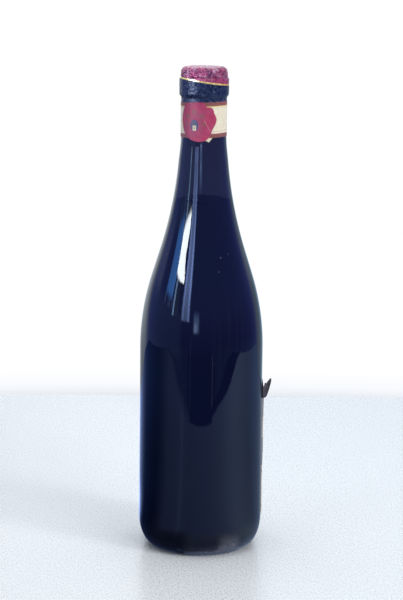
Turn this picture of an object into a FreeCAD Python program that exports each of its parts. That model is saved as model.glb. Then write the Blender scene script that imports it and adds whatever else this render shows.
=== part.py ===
import FreeCAD, Part
import os
from math import asin, cos, pi, radians, sin, sqrt, tan

from FreeCAD import Matrix, Placement, Rotation, Vector

# Sealed wine bottle: a tall round glass bottle with sloping shoulders, its wine,
# a foil capsule over the mouth, a paper band and a seal round the neck, and a
# paper label on the back whose top corner has torn and curled away.
# Millimetres, +Z up, origin at the middle of the standing ring.  The front of the
# bottle is -Y, the lifted edge of the label is at +X.

# ---- driving dimensions ----------------------------------------------------
BODY_R = 38.5            # outside radius of the straight body
HEEL_H = 19.4            # height of the rounded heel
HEEL_W = 9.5             # how far the heel draws in to the standing ring
BODY_TOP = 128.5         # where the shoulder begins
SHOULDER_R = 155.0       # radius of the convex shoulder, in section
SHOULDER_END = 175.3     # height where the shoulder turns straight
NECK_ARC_R = 262.0       # radius of the hollow sweep into the neck, in section
NECK_R = 14.05           # outside radius of the glass neck
RING_R = 15.30           # string ring under the mouth
RING_LOW = 287.2
RING_HIGH = 298.3
RING_CHAMFER = 1.2
LIP_R = 14.30            # glass lip above the ring
LIP_TOP = 305.65         # height of the glass mouth
LIP_ROUND = 3.2
WALL = 2.6               # glass wall of the body
BASE_T = 5.5             # glass under the wine at the heel
PUNT_H = 8.0             # shallow dome pressed up into the base
STAND_IN_R = 26.6        # inside radius of the flat standing ring
BORE_R = 9.6             # bore of the neck
MOUTH_R = 9.25           # bore at the mouth
FILL_Z = 224.0           # level of the wine

NOTCH_ANGLE = -18.3      # spotting notch in the heel, degrees from the front towards +X
NOTCH_W = 6.0
NOTCH_H = 8.6            # only its upper half shows above the heel's edge
NOTCH_D = 2.2
NOTCH_Z = 0.8

FOIL = 0.15              # foil capsule
FOIL_GAP = 0.02
FOIL_LOW = 282.4         # lower edge, tucked under the paper band
BAND_GAP = 0.02          # paper band
BAND_T = 0.18
BAND_MID = 273.55
BAND_H = 21.8
BAND_TILT = 1.6          # degrees, the band sits slightly askew
SEAL_GAP = 0.03
SEAL_T = 0.17

LABEL_T = 0.22           # body label
LABEL_GAP = 0.03
LABEL_LOW = 18.9
LABEL_TOP = 108.4
LABEL_END = 166.0        # far edge of the label, degrees from +X towards +Y
LIFT_START = 13.0        # from here to the near edge the paper stands off the glass
LIFT = 1.10

os.makedirs("parts", exist_ok=True)


def v(r, z):
    return Vector(r, 0, z)


def line(a, b):
    return Part.LineSegment(v(*a), v(*b)).toShape()


def arc(a, m, b):
    return Part.Arc(v(*a), v(*m), v(*b)).toShape()


def spin(edges):
    face = Part.Face(Part.Wire(edges))
    return face.revolve(Vector(0, 0, 0), Vector(0, 0, 1), 360)


def solid_of(shape):
    s = shape.Solids
    if len(s) != 1:
        raise RuntimeError("expected one solid, got %d" % len(s))
    return s[0]


# ---- section of the glass ---------------------------------------------------
slope = asin((SHOULDER_END - BODY_TOP) / SHOULDER_R)


def outline(off, neck_r):
    """Key points and mid points of the outer section, moved in by off."""
    rs = SHOULDER_R - off
    cx = BODY_R - SHOULDER_R
    z1 = BODY_TOP
    p1 = (cx + rs, z1)
    p2 = (cx + rs * cos(slope), z1 + rs * sin(slope))
    m12 = (cx + rs * cos(slope / 2), z1 + rs * sin(slope / 2))
    ra = NECK_ARC_R
    drop = p2[0] - neck_r - ra * (1 - cos(slope))
    z3 = p2[1] + drop / tan(slope)
    p3 = (p2[0] - drop, z3)
    zc = z3 + ra * sin(slope)
    c = neck_r + ra
    p4 = (neck_r, zc)
    m34 = (c - ra * cos(slope / 2), zc - ra * sin(slope / 2))
    return p1, m12, p2, p3, m34, p4


o1, om12, o2, o3, om34, o4 = outline(0.0, NECK_R)
i1, im12, i2, i3, im34, i4 = outline(WALL, BORE_R)

stand_r = BODY_R - HEEL_W
heel_c = (stand_r, HEEL_H)


def heel(off):
    """Quarter ellipse of the heel, from the straight body down and in."""
    pts = []
    for k in range(13):
        t = (pi / 2) * k / 12
        pts.append((heel_c[0] + (HEEL_W - off) * cos(t), heel_c[1] - (HEEL_H - off) * sin(t)))
    return pts


def curve(pts, t0, t1):
    """Smooth curve through section points with end tangents."""
    c = Part.BSplineCurve()
    c.interpolate(Points=[v(*p) for p in pts], InitialTangent=Vector(t0[0], 0, t0[1]), FinalTangent=Vector(t1[0], 0, t1[1]))
    return c.toShape()


heel_pts = heel(0.0)

ring_lo = (NECK_R, RING_LOW)
ring_a = (RING_R, RING_LOW + RING_CHAMFER)
ring_b = (RING_R, RING_HIGH - 0.5)
ring_c = (LIP_R, RING_HIGH + 0.6)
lip_a = (LIP_R, LIP_TOP - LIP_ROUND)
q = LIP_ROUND * (1 - 1 / sqrt(2))
lip_m = (LIP_R - q, LIP_TOP - q)
lip_b = (LIP_R - LIP_ROUND, LIP_TOP)

# punt: a shallow dome from the inside of the standing ring
punt_R = (STAND_IN_R ** 2 + PUNT_H ** 2) / (2 * PUNT_H)
punt_m = (STAND_IN_R / 2, PUNT_H - (punt_R - sqrt(punt_R ** 2 - (STAND_IN_R / 2) ** 2)))

outer = [
    arc((0, PUNT_H), punt_m, (STAND_IN_R, 0)),
    line((STAND_IN_R, 0), (stand_r, 0)),
    curve(heel_pts[::-1], (1, 0), (0, 1)),
    line((BODY_R, HEEL_H), o1),
    arc(o1, om12, o2),
    line(o2, o3),
    arc(o3, om34, o4),
    line(o4, ring_lo),
    line(ring_lo, ring_a),
    line(ring_a, ring_b),
    line(ring_b, ring_c),
    line(ring_c, lip_a),
    arc(lip_a, lip_m, lip_b),
    line(lip_b, (MOUTH_R, LIP_TOP)),
]

# section of the hollow: floor that follows the punt, rounded corner, straight wall,
# then shoulder and neck inside the outer line
in_r = BODY_R - WALL
corner_r = 13.0
floor_z = BASE_T
dome_z = PUNT_H + BASE_T
mouth_low = 285.0
floor_mid = ((in_r - corner_r) / 2, floor_z + (dome_z - floor_z) * 0.70)
corner_m = (in_r - corner_r * (1 - sin(radians(45))), floor_z + corner_r * (1 - cos(radians(45))))
inner_low = [
    arc((0, dome_z), floor_mid, (in_r - corner_r, floor_z)),
    arc((in_r - corner_r, floor_z), corner_m, (in_r, floor_z + corner_r)),
    line((in_r, floor_z + corner_r), i1),
    arc(i1, im12, i2),
    line(i2, i3),
]
inner_high = [
    arc(i3, im34, i4),
    line(i4, (BORE_R, mouth_low)),
    line((BORE_R, mouth_low), (MOUTH_R, LIP_TOP)),
]
hollow = spin(inner_low + inner_high + [line((MOUTH_R, LIP_TOP), (0, LIP_TOP)), line((0, LIP_TOP), (0, dome_z))])
body = spin(outer + [line((MOUTH_R, LIP_TOP), (0, LIP_TOP)), line((0, LIP_TOP), (0, PUNT_H))])
glass = body.cut(hollow)

# spotting notch pressed into the heel
na = radians(NOTCH_ANGLE)
n_dir = Vector(sin(na), -cos(na), 0)
n_t = sqrt(1 - ((HEEL_H - 3.2) / HEEL_H) ** 2)
n_r = stand_r + HEEL_W * n_t
cut = Part.makeCylinder(NOTCH_W / 2, 14.0, Vector(0, 0, 0), Vector(0, 0, 1))
m = Matrix()
m.scale(1.0, NOTCH_H / NOTCH_W, 1.0)
cut = cut.transformGeometry(m)
rot = Rotation(Vector(0, 0, 1), n_dir)
# the cutter's own Y stands up
fix = Rotation(rot.multVec(Vector(0, 1, 0)), Vector(0, 0, 1))
cut.Placement = Placement(n_dir * (n_r - NOTCH_D) + Vector(0, 0, NOTCH_Z), fix.multiply(rot))
glass = solid_of(glass.cut(cut))
glass.exportStep("parts/glass_bottle.step")

# ---- wine -------------------------------------------------------------------
cup = spin(inner_low + [line(i3, (0, i3[1])), line((0, i3[1]), (0, dome_z))]) if FILL_Z < i3[1] else hollow
level = Part.makeCylinder(60, FILL_Z)
wine = solid_of(cup.common(level))
wine.exportStep("parts/wine.step")


# ---- foil capsule: closed cap over the lip, ring and upper neck --------------
def skin(off):
    """Section points of the capped neck, off outside the glass."""
    return [
        (NECK_R + off, FOIL_LOW),
        (NECK_R + off, RING_LOW - off * 0.4),
        (RING_R + off, RING_LOW + RING_CHAMFER - off * 0.4),
        (RING_R + off, RING_HIGH - 0.5 + off * 0.4),
        (LIP_R + off, RING_HIGH + 0.6 + off * 0.4),
        (LIP_R + off, LIP_TOP - LIP_ROUND),
    ]


def cap_section(off):
    pts = skin(off)
    e = [line(a, b) for a, b in zip(pts, pts[1:])]
    r = LIP_ROUND + off
    cx, cz = LIP_R - LIP_ROUND, LIP_TOP - LIP_ROUND
    e.append(arc((cx + r, cz), (cx + r / sqrt(2), cz + r / sqrt(2)), (cx, cz + r)))
    e.append(line((cx, cz + r), (0, cz + r)))
    return pts[0], e, (0, cz + r)


lo_a, sec_a, top_a = cap_section(FOIL_GAP)
lo_b, sec_b, top_b = cap_section(FOIL_GAP + FOIL)
full = spin(sec_b + [line(top_b, (0, FOIL_LOW)), line((0, FOIL_LOW), lo_b)])
core = spin(sec_a + [line(top_a, (0, FOIL_LOW)), line((0, FOIL_LOW), lo_a)])
capsule = solid_of(full.cut(core))
capsule.exportStep("parts/capsule.step")

# ---- paper band round the neck ------------------------------------------------
band_in = NECK_R + FOIL_GAP + FOIL + BAND_GAP
band_out = band_in + BAND_T


def tube(r0, r1, z0, z1):
    return Part.makeCylinder(r1, z1 - z0, Vector(0, 0, z0)).cut(Part.makeCylinder(r0, z1 - z0 + 2, Vector(0, 0, z0 - 1)))


def prism(points, y0, y1):
    """Flat outline in X and Z, carried from y0 to y1."""
    pts = [Vector(x, y0, z) for x, z in points]
    w = Part.makePolygon(pts + [pts[0]])
    return Part.Face(w).extrude(Vector(0, y1 - y0, 0))


slab = Part.makeBox(60, 60, BAND_H, Vector(-30, -30, -BAND_H / 2))
slab.Placement = Placement(Vector(0, 0, BAND_MID), Rotation(Vector(0, 1, 0), -BAND_TILT))
band = tube(band_in, band_out, BAND_MID - 20, BAND_MID + 20).common(slab)
# skewed end of the strip, a small corner that hangs below the rest
corner = prism([(-2.0, 267.0), (9.0, 267.0), (6.1, 263.2), (3.25, 260.1), (-2.0, 262.2)], -25.0, 0.0)
tab = tube(band_in, band_out, 255.0, 268.0).common(corner)
band = solid_of(band.fuse(tab).removeSplitter())
band.exportStep("parts/neck_band.step")

# ---- seal stuck over the band: a rounded blot with an uneven lobe on one side ---
seal_in = band_out + SEAL_GAP
seal_out = seal_in + SEAL_T
SEAL = [  # outline seen from the front, x and z, smoothed below
    (-13.08, 274.15), (-12.79, 270.5), (-12.05, 266.6), (-10.64, 263.7), (-8.5, 261.8), (-5.4, 260.6),
    (-1.5, 260.4), (1.8, 261.6), (3.8, 263.6), (4.6, 265.8), (5.4, 267.9), (7.0, 270.9), (7.75, 274.0),
    (7.1, 276.2), (6.3, 278.0), (6.05, 279.45), (5.2, 280.8), (3.8, 281.55), (2.1, 281.65), (0.9, 282.8),
    (-0.3, 284.4), (-3.0, 284.6), (-7.3, 284.35), (-10.0, 283.9), (-11.5, 282.3), (-12.45, 279.5),
]
loop = Part.BSplineCurve()
loop.interpolate(Points=[Vector(x, -25.0, z) for x, z in SEAL], PeriodicFlag=True)
stamp = Part.Face(Part.Wire([loop.toShape()])).extrude(Vector(0, 25.0, 0))
seal = solid_of(tube(seal_in, seal_out, 255.0, 290.0).common(stamp))
seal.exportStep("parts/seal_label.step")


# ---- body label ---------------------------------------------------------------
def label_r(deg):
    """Inside radius of the paper: on the glass, then standing off towards the near edge."""
    t = max(0.0, min(1.0, (LIFT_START - deg) / LIFT_START))
    return BODY_R + LABEL_GAP + LIFT * t * t * (3 - 2 * t) * 0.999


def polar(r, deg):
    return Vector(r * cos(radians(deg)), r * sin(radians(deg)), 0)


def sheet_edge(extra):
    steps = [LIFT_START * k / 8 for k in range(9)]
    pts = [polar(label_r(d) + extra, d) for d in steps]
    c = Part.BSplineCurve()
    r = label_r(LIFT_START) + extra
    t_end = Vector(-sin(radians(LIFT_START)), cos(radians(LIFT_START)), 0)
    c.interpolate(Points=pts, InitialTangent=Vector(0, 1, 0), FinalTangent=t_end)
    mid = (LIFT_START + LABEL_END) / 2
    a = Part.Arc(polar(r, LIFT_START), polar(r, mid), polar(r, LABEL_END))
    return c.toShape(), a.toShape(), pts[0], polar(r, LABEL_END)


e_in, a_in, s_in, f_in = sheet_edge(0.0)
e_out, a_out, s_out, f_out = sheet_edge(LABEL_T)
section = Part.Wire(Part.__sortEdges__([e_in, a_in, Part.LineSegment(f_in, f_out).toShape(), a_out, e_out, Part.LineSegment(s_out, s_in).toShape()]))
sheet = Part.Face(section).extrude(Vector(0, 0, LABEL_TOP - LABEL_LOW))
sheet.translate(Vector(0, 0, LABEL_LOW))
# the near top corner is torn off along a slanting line
TEAR_Z = 95.4
TEAR_Y = 8.2
tear = Part.Face(Part.makePolygon([
    Vector(30, -3, TEAR_Z), Vector(30, 0.0, TEAR_Z), Vector(30, TEAR_Y, LABEL_TOP + 0.2), Vector(30, TEAR_Y, LABEL_TOP + 3),
    Vector(30, -3, LABEL_TOP + 3), Vector(30, -3, TEAR_Z)])).extrude(Vector(20, 0, 0))
sheet = solid_of(sheet.cut(tear))
# and stands out from the bottle as a stiff curled flap
FLAP = [  # seen from the front, x and z
    (39.30, 94.6), (41.15, 95.3), (42.1, 97.6), (43.2, 101.4), (44.3, 105.3), (44.95, 107.0), (44.75, 107.7), (44.2, 107.6),
    (42.9, 106.1), (41.7, 104.3), (41.0, 105.2), (40.55, 104.3), (39.9, 103.6), (39.30, 102.6),
]
flap = prism(FLAP, -0.02, 0.24)
m = Matrix()
m.A21 = 0.30             # the flap leans back as it goes out
m.A24 = -0.30 * 39.3
flap = flap.transformGeometry(m)
strip = prism([(39.10, 94.6), (39.47, 94.6), (39.47, 102.7), (39.10, 102.7)], -0.05, 5.2)
strip = strip.common(Part.makeCylinder(60, 30, Vector(0, 0, 85)).cut(Part.makeCylinder(BODY_R + 0.3, 40, Vector(0, 0, 80))))
label = solid_of(sheet.fuse([strip, flap]).removeSplitter())
label.exportStep("parts/body_label.step")

for n, s in (("glass_bottle", glass), ("wine", wine), ("capsule", capsule), ("neck_band", band), ("seal_label", seal), ("body_label", label)):
    b = s.BoundBox
    print("%-13s valid %s  solids %d  volume %.1f ml  x %.2f %.2f y %.2f %.2f z %.2f %.2f" % (
        n, s.isValid(), len(s.Solids), s.Volume / 1000, b.XMin, b.XMax, b.YMin, b.YMax, b.ZMin, b.ZMax))
print("hollow to the mouth %.1f ml" % (hollow.Volume / 1000))
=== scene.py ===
from math import asin, atan2, cos, exp, pi, radians, sin, sqrt, tan

import bmesh
import bpy
import numpy as np
from mathutils import Matrix, Vector, geometry, noise


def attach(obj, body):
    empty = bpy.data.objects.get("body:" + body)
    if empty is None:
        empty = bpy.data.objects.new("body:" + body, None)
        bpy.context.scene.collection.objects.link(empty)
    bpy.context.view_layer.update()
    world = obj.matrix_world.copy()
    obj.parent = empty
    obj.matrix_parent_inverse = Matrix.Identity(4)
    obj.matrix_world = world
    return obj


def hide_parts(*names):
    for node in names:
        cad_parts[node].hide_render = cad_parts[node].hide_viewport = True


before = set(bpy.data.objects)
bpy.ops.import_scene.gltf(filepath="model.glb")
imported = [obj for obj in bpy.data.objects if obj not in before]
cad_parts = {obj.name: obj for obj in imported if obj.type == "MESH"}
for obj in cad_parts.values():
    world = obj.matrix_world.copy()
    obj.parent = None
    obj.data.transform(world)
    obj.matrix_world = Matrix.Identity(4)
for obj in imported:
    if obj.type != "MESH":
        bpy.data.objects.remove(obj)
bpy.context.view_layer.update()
MM = 0.001

# ---------------------------------------------------------------------------
# sizes, in millimetres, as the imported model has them
# ---------------------------------------------------------------------------
BODY_R, HEEL_H, HEEL_W = 38.5, 19.4, 9.5
BODY_TOP, SHOULDER_R, SHOULDER_END = 128.5, 155.0, 175.3
NECK_ARC_R, NECK_R = 262.0, 14.05
RING_R, RING_LOW, RING_HIGH, RING_CHAMFER = 15.30, 287.2, 298.3, 1.2
LIP_R, LIP_TOP, LIP_ROUND = 14.30, 305.65, 3.2
WALL, BASE_T, PUNT_H, STAND_IN_R = 2.6, 5.5, 8.0, 26.6
BORE_R, MOUTH_R, FILL_Z = 9.6, 9.25, 224.0
FOIL_LOW = 282.4
BAND_IN, BAND_OUT = NECK_R + 0.19, NECK_R + 0.37
BAND_MID, BAND_H, BAND_TILT = 273.55, 21.8, 1.6
SEAL_R = BAND_OUT + 0.03
LABEL_LOW, LABEL_TOP, LABEL_END, LABEL_T = 18.9, 108.4, 166.0, 0.22
TEAR_Z, TEAR_S = 95.4, 8.2


# ---------------------------------------------------------------------------
# mesh helpers
# ---------------------------------------------------------------------------
def new_mesh(name, verts, faces, smooth=True):
    me = bpy.data.meshes.new(name)
    me.from_pydata([tuple(v) for v in verts], [], faces)
    me.validate()
    if smooth:
        me.polygons.foreach_set("use_smooth", [True] * len(me.polygons))
    me.update()
    ob = bpy.data.objects.new(name, me)
    bpy.context.scene.collection.objects.link(ob)
    return ob


def fix_normals(ob):
    bm = bmesh.new()
    bm.from_mesh(ob.data)
    bmesh.ops.recalc_face_normals(bm, faces=bm.faces)
    bm.to_mesh(ob.data)
    bm.free()
    ob.data.update()


def sharp_by_angle(ob, deg):
    """Edges that turn more than deg stay crisp."""
    bm = bmesh.new()
    bm.from_mesh(ob.data)
    lim = radians(deg)
    for e in bm.edges:
        if len(e.link_faces) == 2 and e.calc_face_angle(0.0) > lim:
            e.smooth = False
    bm.to_mesh(ob.data)
    bm.free()
    ob.data.update()


def lathe(name, prof, angles, move=None):
    """Turns a section of (r, z) in millimetres, whose ends may lie on the axis, into a closed mesh. angles in radians, 0 at the front (-Y), growing towards +X."""
    prof = [tuple(p) for p in prof]
    n = len(angles)
    verts, rows = [], []
    for r, z in prof:
        if r < 1e-6:
            rows.append([len(verts)] * n)
            verts.append((0.0, 0.0, z))
        else:
            rows.append(list(range(len(verts), len(verts) + n)))
            for a in angles:
                verts.append((r * sin(a), -r * cos(a), z))
    v = np.array(verts, float)
    if move is not None:
        v = move(v)
    faces = []
    closed = abs(prof[0][0]) > 1e-6
    pairs = list(zip(rows, rows[1:]))
    if closed:
        pairs.append((rows[-1], rows[0]))
    for a, b in pairs:
        for i in range(n):
            j = (i + 1) % n
            q = [a[i], a[j], b[j], b[i]]
            f = []
            for k in q:
                if k not in f:
                    f.append(k)
            if len(f) > 2:
                faces.append(f)
    ob = new_mesh(name, v * MM, faces)
    fix_normals(ob)
    return ob


def arc_points(a, m, b, n):
    """n + 1 points on the arc through three points."""
    (x1, y1), (x2, y2), (x3, y3) = a, m, b
    d = 2 * (x1 * (y2 - y3) + x2 * (y3 - y1) + x3 * (y1 - y2))
    ux = ((x1**2 + y1**2) * (y2 - y3) + (x2**2 + y2**2) * (y3 - y1) + (x3**2 + y3**2) * (y1 - y2)) / d
    uy = ((x1**2 + y1**2) * (x3 - x2) + (x2**2 + y2**2) * (x1 - x3) + (x3**2 + y3**2) * (x2 - x1)) / d
    r = sqrt((x1 - ux) ** 2 + (y1 - uy) ** 2)
    t1, t2, t3 = (atan2(y - uy, x - ux) for x, y in (a, m, b))

    def turn(t, way):
        while way > 0 and t < t1:
            t += 2 * pi
        while way < 0 and t > t1:
            t -= 2 * pi
        return t

    way = 1 if turn(t2, 1) < turn(t3, 1) else -1
    t3 = turn(t3, way)
    return [(ux + r * cos(t1 + (t3 - t1) * k / n), uy + r * sin(t1 + (t3 - t1) * k / n)) for k in range(n + 1)]


def straight(a, b, n):
    return [(a[0] + (b[0] - a[0]) * k / n, a[1] + (b[1] - a[1]) * k / n) for k in range(n + 1)]


def join(*runs):
    out = []
    for run in runs:
        for p in run:
            if not out or abs(p[0] - out[-1][0]) + abs(p[1] - out[-1][1]) > 1e-6:
                out.append(p)
    return out


def fbm(p, octaves=3, seed=0.0):
    return noise.fractal(Vector((p[0] + seed, p[1] - seed * 0.7, p[2] + seed * 1.3)), 0.9, 2.1, octaves, noise_basis="PERLIN_ORIGINAL")


def smooth(t):
    t = np.clip(t, 0.0, 1.0)
    return t * t * (3 - 2 * t)


# ---------------------------------------------------------------------------
# section of the glass
# ---------------------------------------------------------------------------
slope = asin((SHOULDER_END - BODY_TOP) / SHOULDER_R)


def key_points(off, neck_r):
    rs = SHOULDER_R - off
    cx = BODY_R - SHOULDER_R
    p1 = (cx + rs, BODY_TOP)
    m12 = (cx + rs * cos(slope / 2), BODY_TOP + rs * sin(slope / 2))
    p2 = (cx + rs * cos(slope), BODY_TOP + rs * sin(slope))
    drop = p2[0] - neck_r - NECK_ARC_R * (1 - cos(slope))
    z3 = p2[1] + drop / tan(slope)
    p3 = (p2[0] - drop, z3)
    zc = z3 + NECK_ARC_R * sin(slope)
    c = neck_r + NECK_ARC_R
    m34 = (c - NECK_ARC_R * cos(slope / 2), zc - NECK_ARC_R * sin(slope / 2))
    return p1, m12, p2, p3, m34, (neck_r, zc)


def outer_section():
    p1, m12, p2, p3, m34, p4 = key_points(0.0, NECK_R)
    stand = BODY_R - HEEL_W
    big = (STAND_IN_R**2 + PUNT_H**2) / (2 * PUNT_H)
    mid = (STAND_IN_R / 2, PUNT_H - (big - sqrt(big**2 - (STAND_IN_R / 2) ** 2)))
    heel = []
    for k in range(37):
        t = pi / 2 * (1 - k / 36)
        heel.append((stand + HEEL_W * cos(t), HEEL_H - HEEL_H * sin(t)))
    q = LIP_ROUND * (1 - 1 / sqrt(2))
    return join(
        arc_points((0, PUNT_H), mid, (STAND_IN_R, 0), 26),
        straight((STAND_IN_R, 0), (stand, 0), 3),
        heel,
        straight((BODY_R, HEEL_H), p1, 44),
        arc_points(p1, m12, p2, 22),
        straight(p2, p3, 8),
        arc_points(p3, m34, p4, 36),
        straight(p4, (NECK_R, RING_LOW), 8),
        straight((NECK_R, RING_LOW), (RING_R, RING_LOW + RING_CHAMFER), 2),
        straight((RING_R, RING_LOW + RING_CHAMFER), (RING_R, RING_HIGH - 0.5), 4),
        straight((RING_R, RING_HIGH - 0.5), (LIP_R, RING_HIGH + 0.6), 2),
        straight((LIP_R, RING_HIGH + 0.6), (LIP_R, LIP_TOP - LIP_ROUND), 2),
        arc_points((LIP_R, LIP_TOP - LIP_ROUND), (LIP_R - q, LIP_TOP - q), (LIP_R - LIP_ROUND, LIP_TOP), 6),
        straight((LIP_R - LIP_ROUND, LIP_TOP), (MOUTH_R, LIP_TOP), 2),
    )


def inner_section(off=0.0):
    """Inside of the glass from the middle of the floor up to the mouth; off moves it into the glass."""
    p1, m12, p2, p3, m34, p4 = key_points(WALL, BORE_R)
    in_r, corner = BODY_R - WALL, 13.0
    dome = PUNT_H + BASE_T
    fm = ((in_r - corner) / 2, BASE_T + (dome - BASE_T) * 0.70)
    cm = (in_r - corner * (1 - sin(radians(45))), BASE_T + corner * (1 - cos(radians(45))))
    pts = join(
        arc_points((0, dome), fm, (in_r - corner, BASE_T), 14),
        arc_points((in_r - corner, BASE_T), cm, (in_r, BASE_T + corner), 14),
        straight((in_r, BASE_T + corner), p1, 16),
        arc_points(p1, m12, p2, 14),
        straight(p2, p3, 4),
        arc_points(p3, m34, p4, 26),
        straight(p4, (BORE_R, 285.0), 3),
        straight((BORE_R, 285.0), (MOUTH_R, LIP_TOP), 4),
    )
    if off:
        out = []
        for k, (r, z) in enumerate(pts):
            a, b = pts[max(0, k - 1)], pts[min(len(pts) - 1, k + 1)]
            d = Vector((b[0] - a[0], b[1] - a[1]))
            d.normalize()
            out.append((max(0.0, r + d.y * off) if r > 1e-6 else 0.0, z - d.x * off))
        pts = out
    return pts


def outer_radius(z, table=[]):  # noqa: B006
    if not table:
        sec = [p for p in outer_section() if p[1] >= 0 and p[0] > 14.0]
        k = next(i for i, p in enumerate(sec) if p[0] >= BODY_R - HEEL_W - 1e-6 and p[1] <= 1e-6)
        sec = sec[k:]
        table.extend([np.array([p[1] for p in sec]), np.array([p[0] for p in sec])])
    return float(np.interp(z, table[0], table[1]))


# ---------------------------------------------------------------------------
# node helpers: small expressions written as node graphs
# ---------------------------------------------------------------------------
class Tree:
    def __init__(self, tree):
        self.t = tree
        self.n = 0

    def node(self, kind, **set_):
        nd = self.t.nodes.new(kind)
        nd.location = (-1400 + 180 * (self.n % 12), 600 - 160 * (self.n // 12))
        self.n += 1
        for k, v in set_.items():
            setattr(nd, k, v)
        return nd

    def link(self, a, b):
        self.t.links.new(a, b)

    def put(self, v, socket):
        if isinstance(v, E):
            self.link(v.s, socket)
        else:
            socket.default_value = v

    def math(self, op, *args, clamp=False):
        nd = self.node("ShaderNodeMath", operation=op)
        nd.use_clamp = clamp
        for k, a in enumerate(args):
            self.put(a, nd.inputs[k])
        return E(self, nd.outputs[0])

    def step(self, x, a, b):
        """Smooth step from 0 at a to 1 at b."""
        nd = self.node("ShaderNodeMapRange", interpolation_type="SMOOTHSTEP")
        self.put(x, nd.inputs[0])
        if a <= b:
            nd.inputs[1].default_value, nd.inputs[2].default_value = a, b
            nd.inputs[3].default_value, nd.inputs[4].default_value = 0.0, 1.0
        else:
            nd.inputs[1].default_value, nd.inputs[2].default_value = b, a
            nd.inputs[3].default_value, nd.inputs[4].default_value = 1.0, 0.0
        return E(self, nd.outputs[0])

    def line(self, x, a, b, c=0.0, d=1.0):
        nd = self.node("ShaderNodeMapRange")
        nd.clamp = True
        self.put(x, nd.inputs[0])
        nd.inputs[1].default_value, nd.inputs[2].default_value = a, b
        nd.inputs[3].default_value, nd.inputs[4].default_value = c, d
        return E(self, nd.outputs[0])

    def window(self, x, lo, hi, soft_lo, soft_hi=None):
        soft_hi = soft_lo if soft_hi is None else soft_hi
        return self.step(x, lo - soft_lo / 2, lo + soft_lo / 2) * self.step(x, hi + soft_hi / 2, hi - soft_hi / 2)

    def ramp(self, x, stops, mode="LINEAR"):
        """stops: (position 0..1, (r, g, b))"""
        nd = self.node("ShaderNodeValToRGB")
        nd.color_ramp.interpolation = mode
        els = nd.color_ramp.elements
        while len(els) < len(stops):
            els.new(0.5)
        for e, (p, c) in zip(els, stops):
            e.position = p
            e.color = (*c, 1.0) if len(c) == 3 else c
        self.put(x, nd.inputs[0])
        return E(self, nd.outputs[0])

    def mix(self, f, a, b, blend="MIX"):
        nd = self.node("ShaderNodeMix", data_type="RGBA", blend_type=blend)
        nd.clamp_factor = True
        self.put(f, nd.inputs[0])
        for v, s in ((a, nd.inputs[6]), (b, nd.inputs[7])):
            if isinstance(v, E):
                self.link(v.s, s)
            else:
                s.default_value = (*v, 1.0)
        return E(self, nd.outputs[2])

    def noise(self, vec, scale, detail=2.0, rough=0.5, dist=0.0):
        nd = self.node("ShaderNodeTexNoise")
        nd.noise_dimensions = "3D"
        if vec is not None:
            self.put(vec, nd.inputs["Vector"])
        nd.inputs["Scale"].default_value = scale
        nd.inputs["Detail"].default_value = detail
        nd.inputs["Roughness"].default_value = rough
        nd.inputs["Distortion"].default_value = dist
        return E(self, nd.outputs[0])

    def voronoi(self, vec, scale, feature="F1", rand=1.0):
        nd = self.node("ShaderNodeTexVoronoi", feature=feature)
        if vec is not None:
            self.put(vec, nd.inputs["Vector"])
        nd.inputs["Scale"].default_value = scale
        nd.inputs["Randomness"].default_value = rand
        return nd

    def combine(self, x, y, z):
        nd = self.node("ShaderNodeCombineXYZ")
        for v, s in zip((x, y, z), nd.inputs):
            self.put(v, s)
        return E(self, nd.outputs[0])

    def split(self, v):
        nd = self.node("ShaderNodeSeparateXYZ")
        self.put(v, nd.inputs[0])
        return [E(self, o) for o in nd.outputs]

    def bump(self, height, strength, distance, normal=None):
        nd = self.node("ShaderNodeBump")
        nd.inputs["Strength"].default_value = strength
        nd.inputs["Distance"].default_value = distance
        self.put(height, nd.inputs["Height"])
        if normal is not None:
            self.put(normal, nd.inputs["Normal"])
        return E(self, nd.outputs[0])

    def object_mm(self):
        """Object position in millimetres, as x, y, z and as a vector."""
        tc = self.node("ShaderNodeTexCoord")
        sc = self.node("ShaderNodeVectorMath", operation="SCALE")
        self.link(tc.outputs["Object"], sc.inputs[0])
        sc.inputs[3].default_value = 1000.0
        v = E(self, sc.outputs[0])
        return (*self.split(v), v)


class E:
    def __init__(self, tree, socket):
        self.tr, self.s = tree, socket

    def __add__(self, o):
        return self.tr.math("ADD", self, o)

    __radd__ = __add__

    def __sub__(self, o):
        return self.tr.math("SUBTRACT", self, o)

    def __rsub__(self, o):
        return self.tr.math("SUBTRACT", o, self)

    def __mul__(self, o):
        return self.tr.math("MULTIPLY", self, o)

    __rmul__ = __mul__

    def __truediv__(self, o):
        return self.tr.math("DIVIDE", self, o)

    def abs(self):
        return self.tr.math("ABSOLUTE", self)

    def max(self, o):
        return self.tr.math("MAXIMUM", self, o)

    def min(self, o):
        return self.tr.math("MINIMUM", self, o)

    def pow(self, o):
        return self.tr.math("POWER", self, o)

    def inv(self):
        return self.tr.math("SUBTRACT", 1.0, self)


def material(name, **values):
    m = bpy.data.materials.new(name)
    m.use_nodes = True
    t = Tree(m.node_tree)
    bsdf = next(n for n in m.node_tree.nodes if n.type == "BSDF_PRINCIPLED")
    for k, v in values.items():
        key = k.replace("_", " ")
        sock = bsdf.inputs[key]
        sock.default_value = (*v, 1.0) if isinstance(v, tuple) and len(v) == 3 and sock.type == "RGBA" else v
    return m, t, bsdf


def srgb(r, g, b):
    out = []
    for c in (r, g, b):
        c = c / 255.0
        out.append(c / 12.92 if c <= 0.04045 else ((c + 0.055) / 1.055) ** 2.4)
    return tuple(out)


def use(ob, mat):
    ob.data.materials.clear()
    ob.data.materials.append(mat)


# ---------------------------------------------------------------------------
# glass
# ---------------------------------------------------------------------------
NOTCH_A = radians(-21.3)


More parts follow.
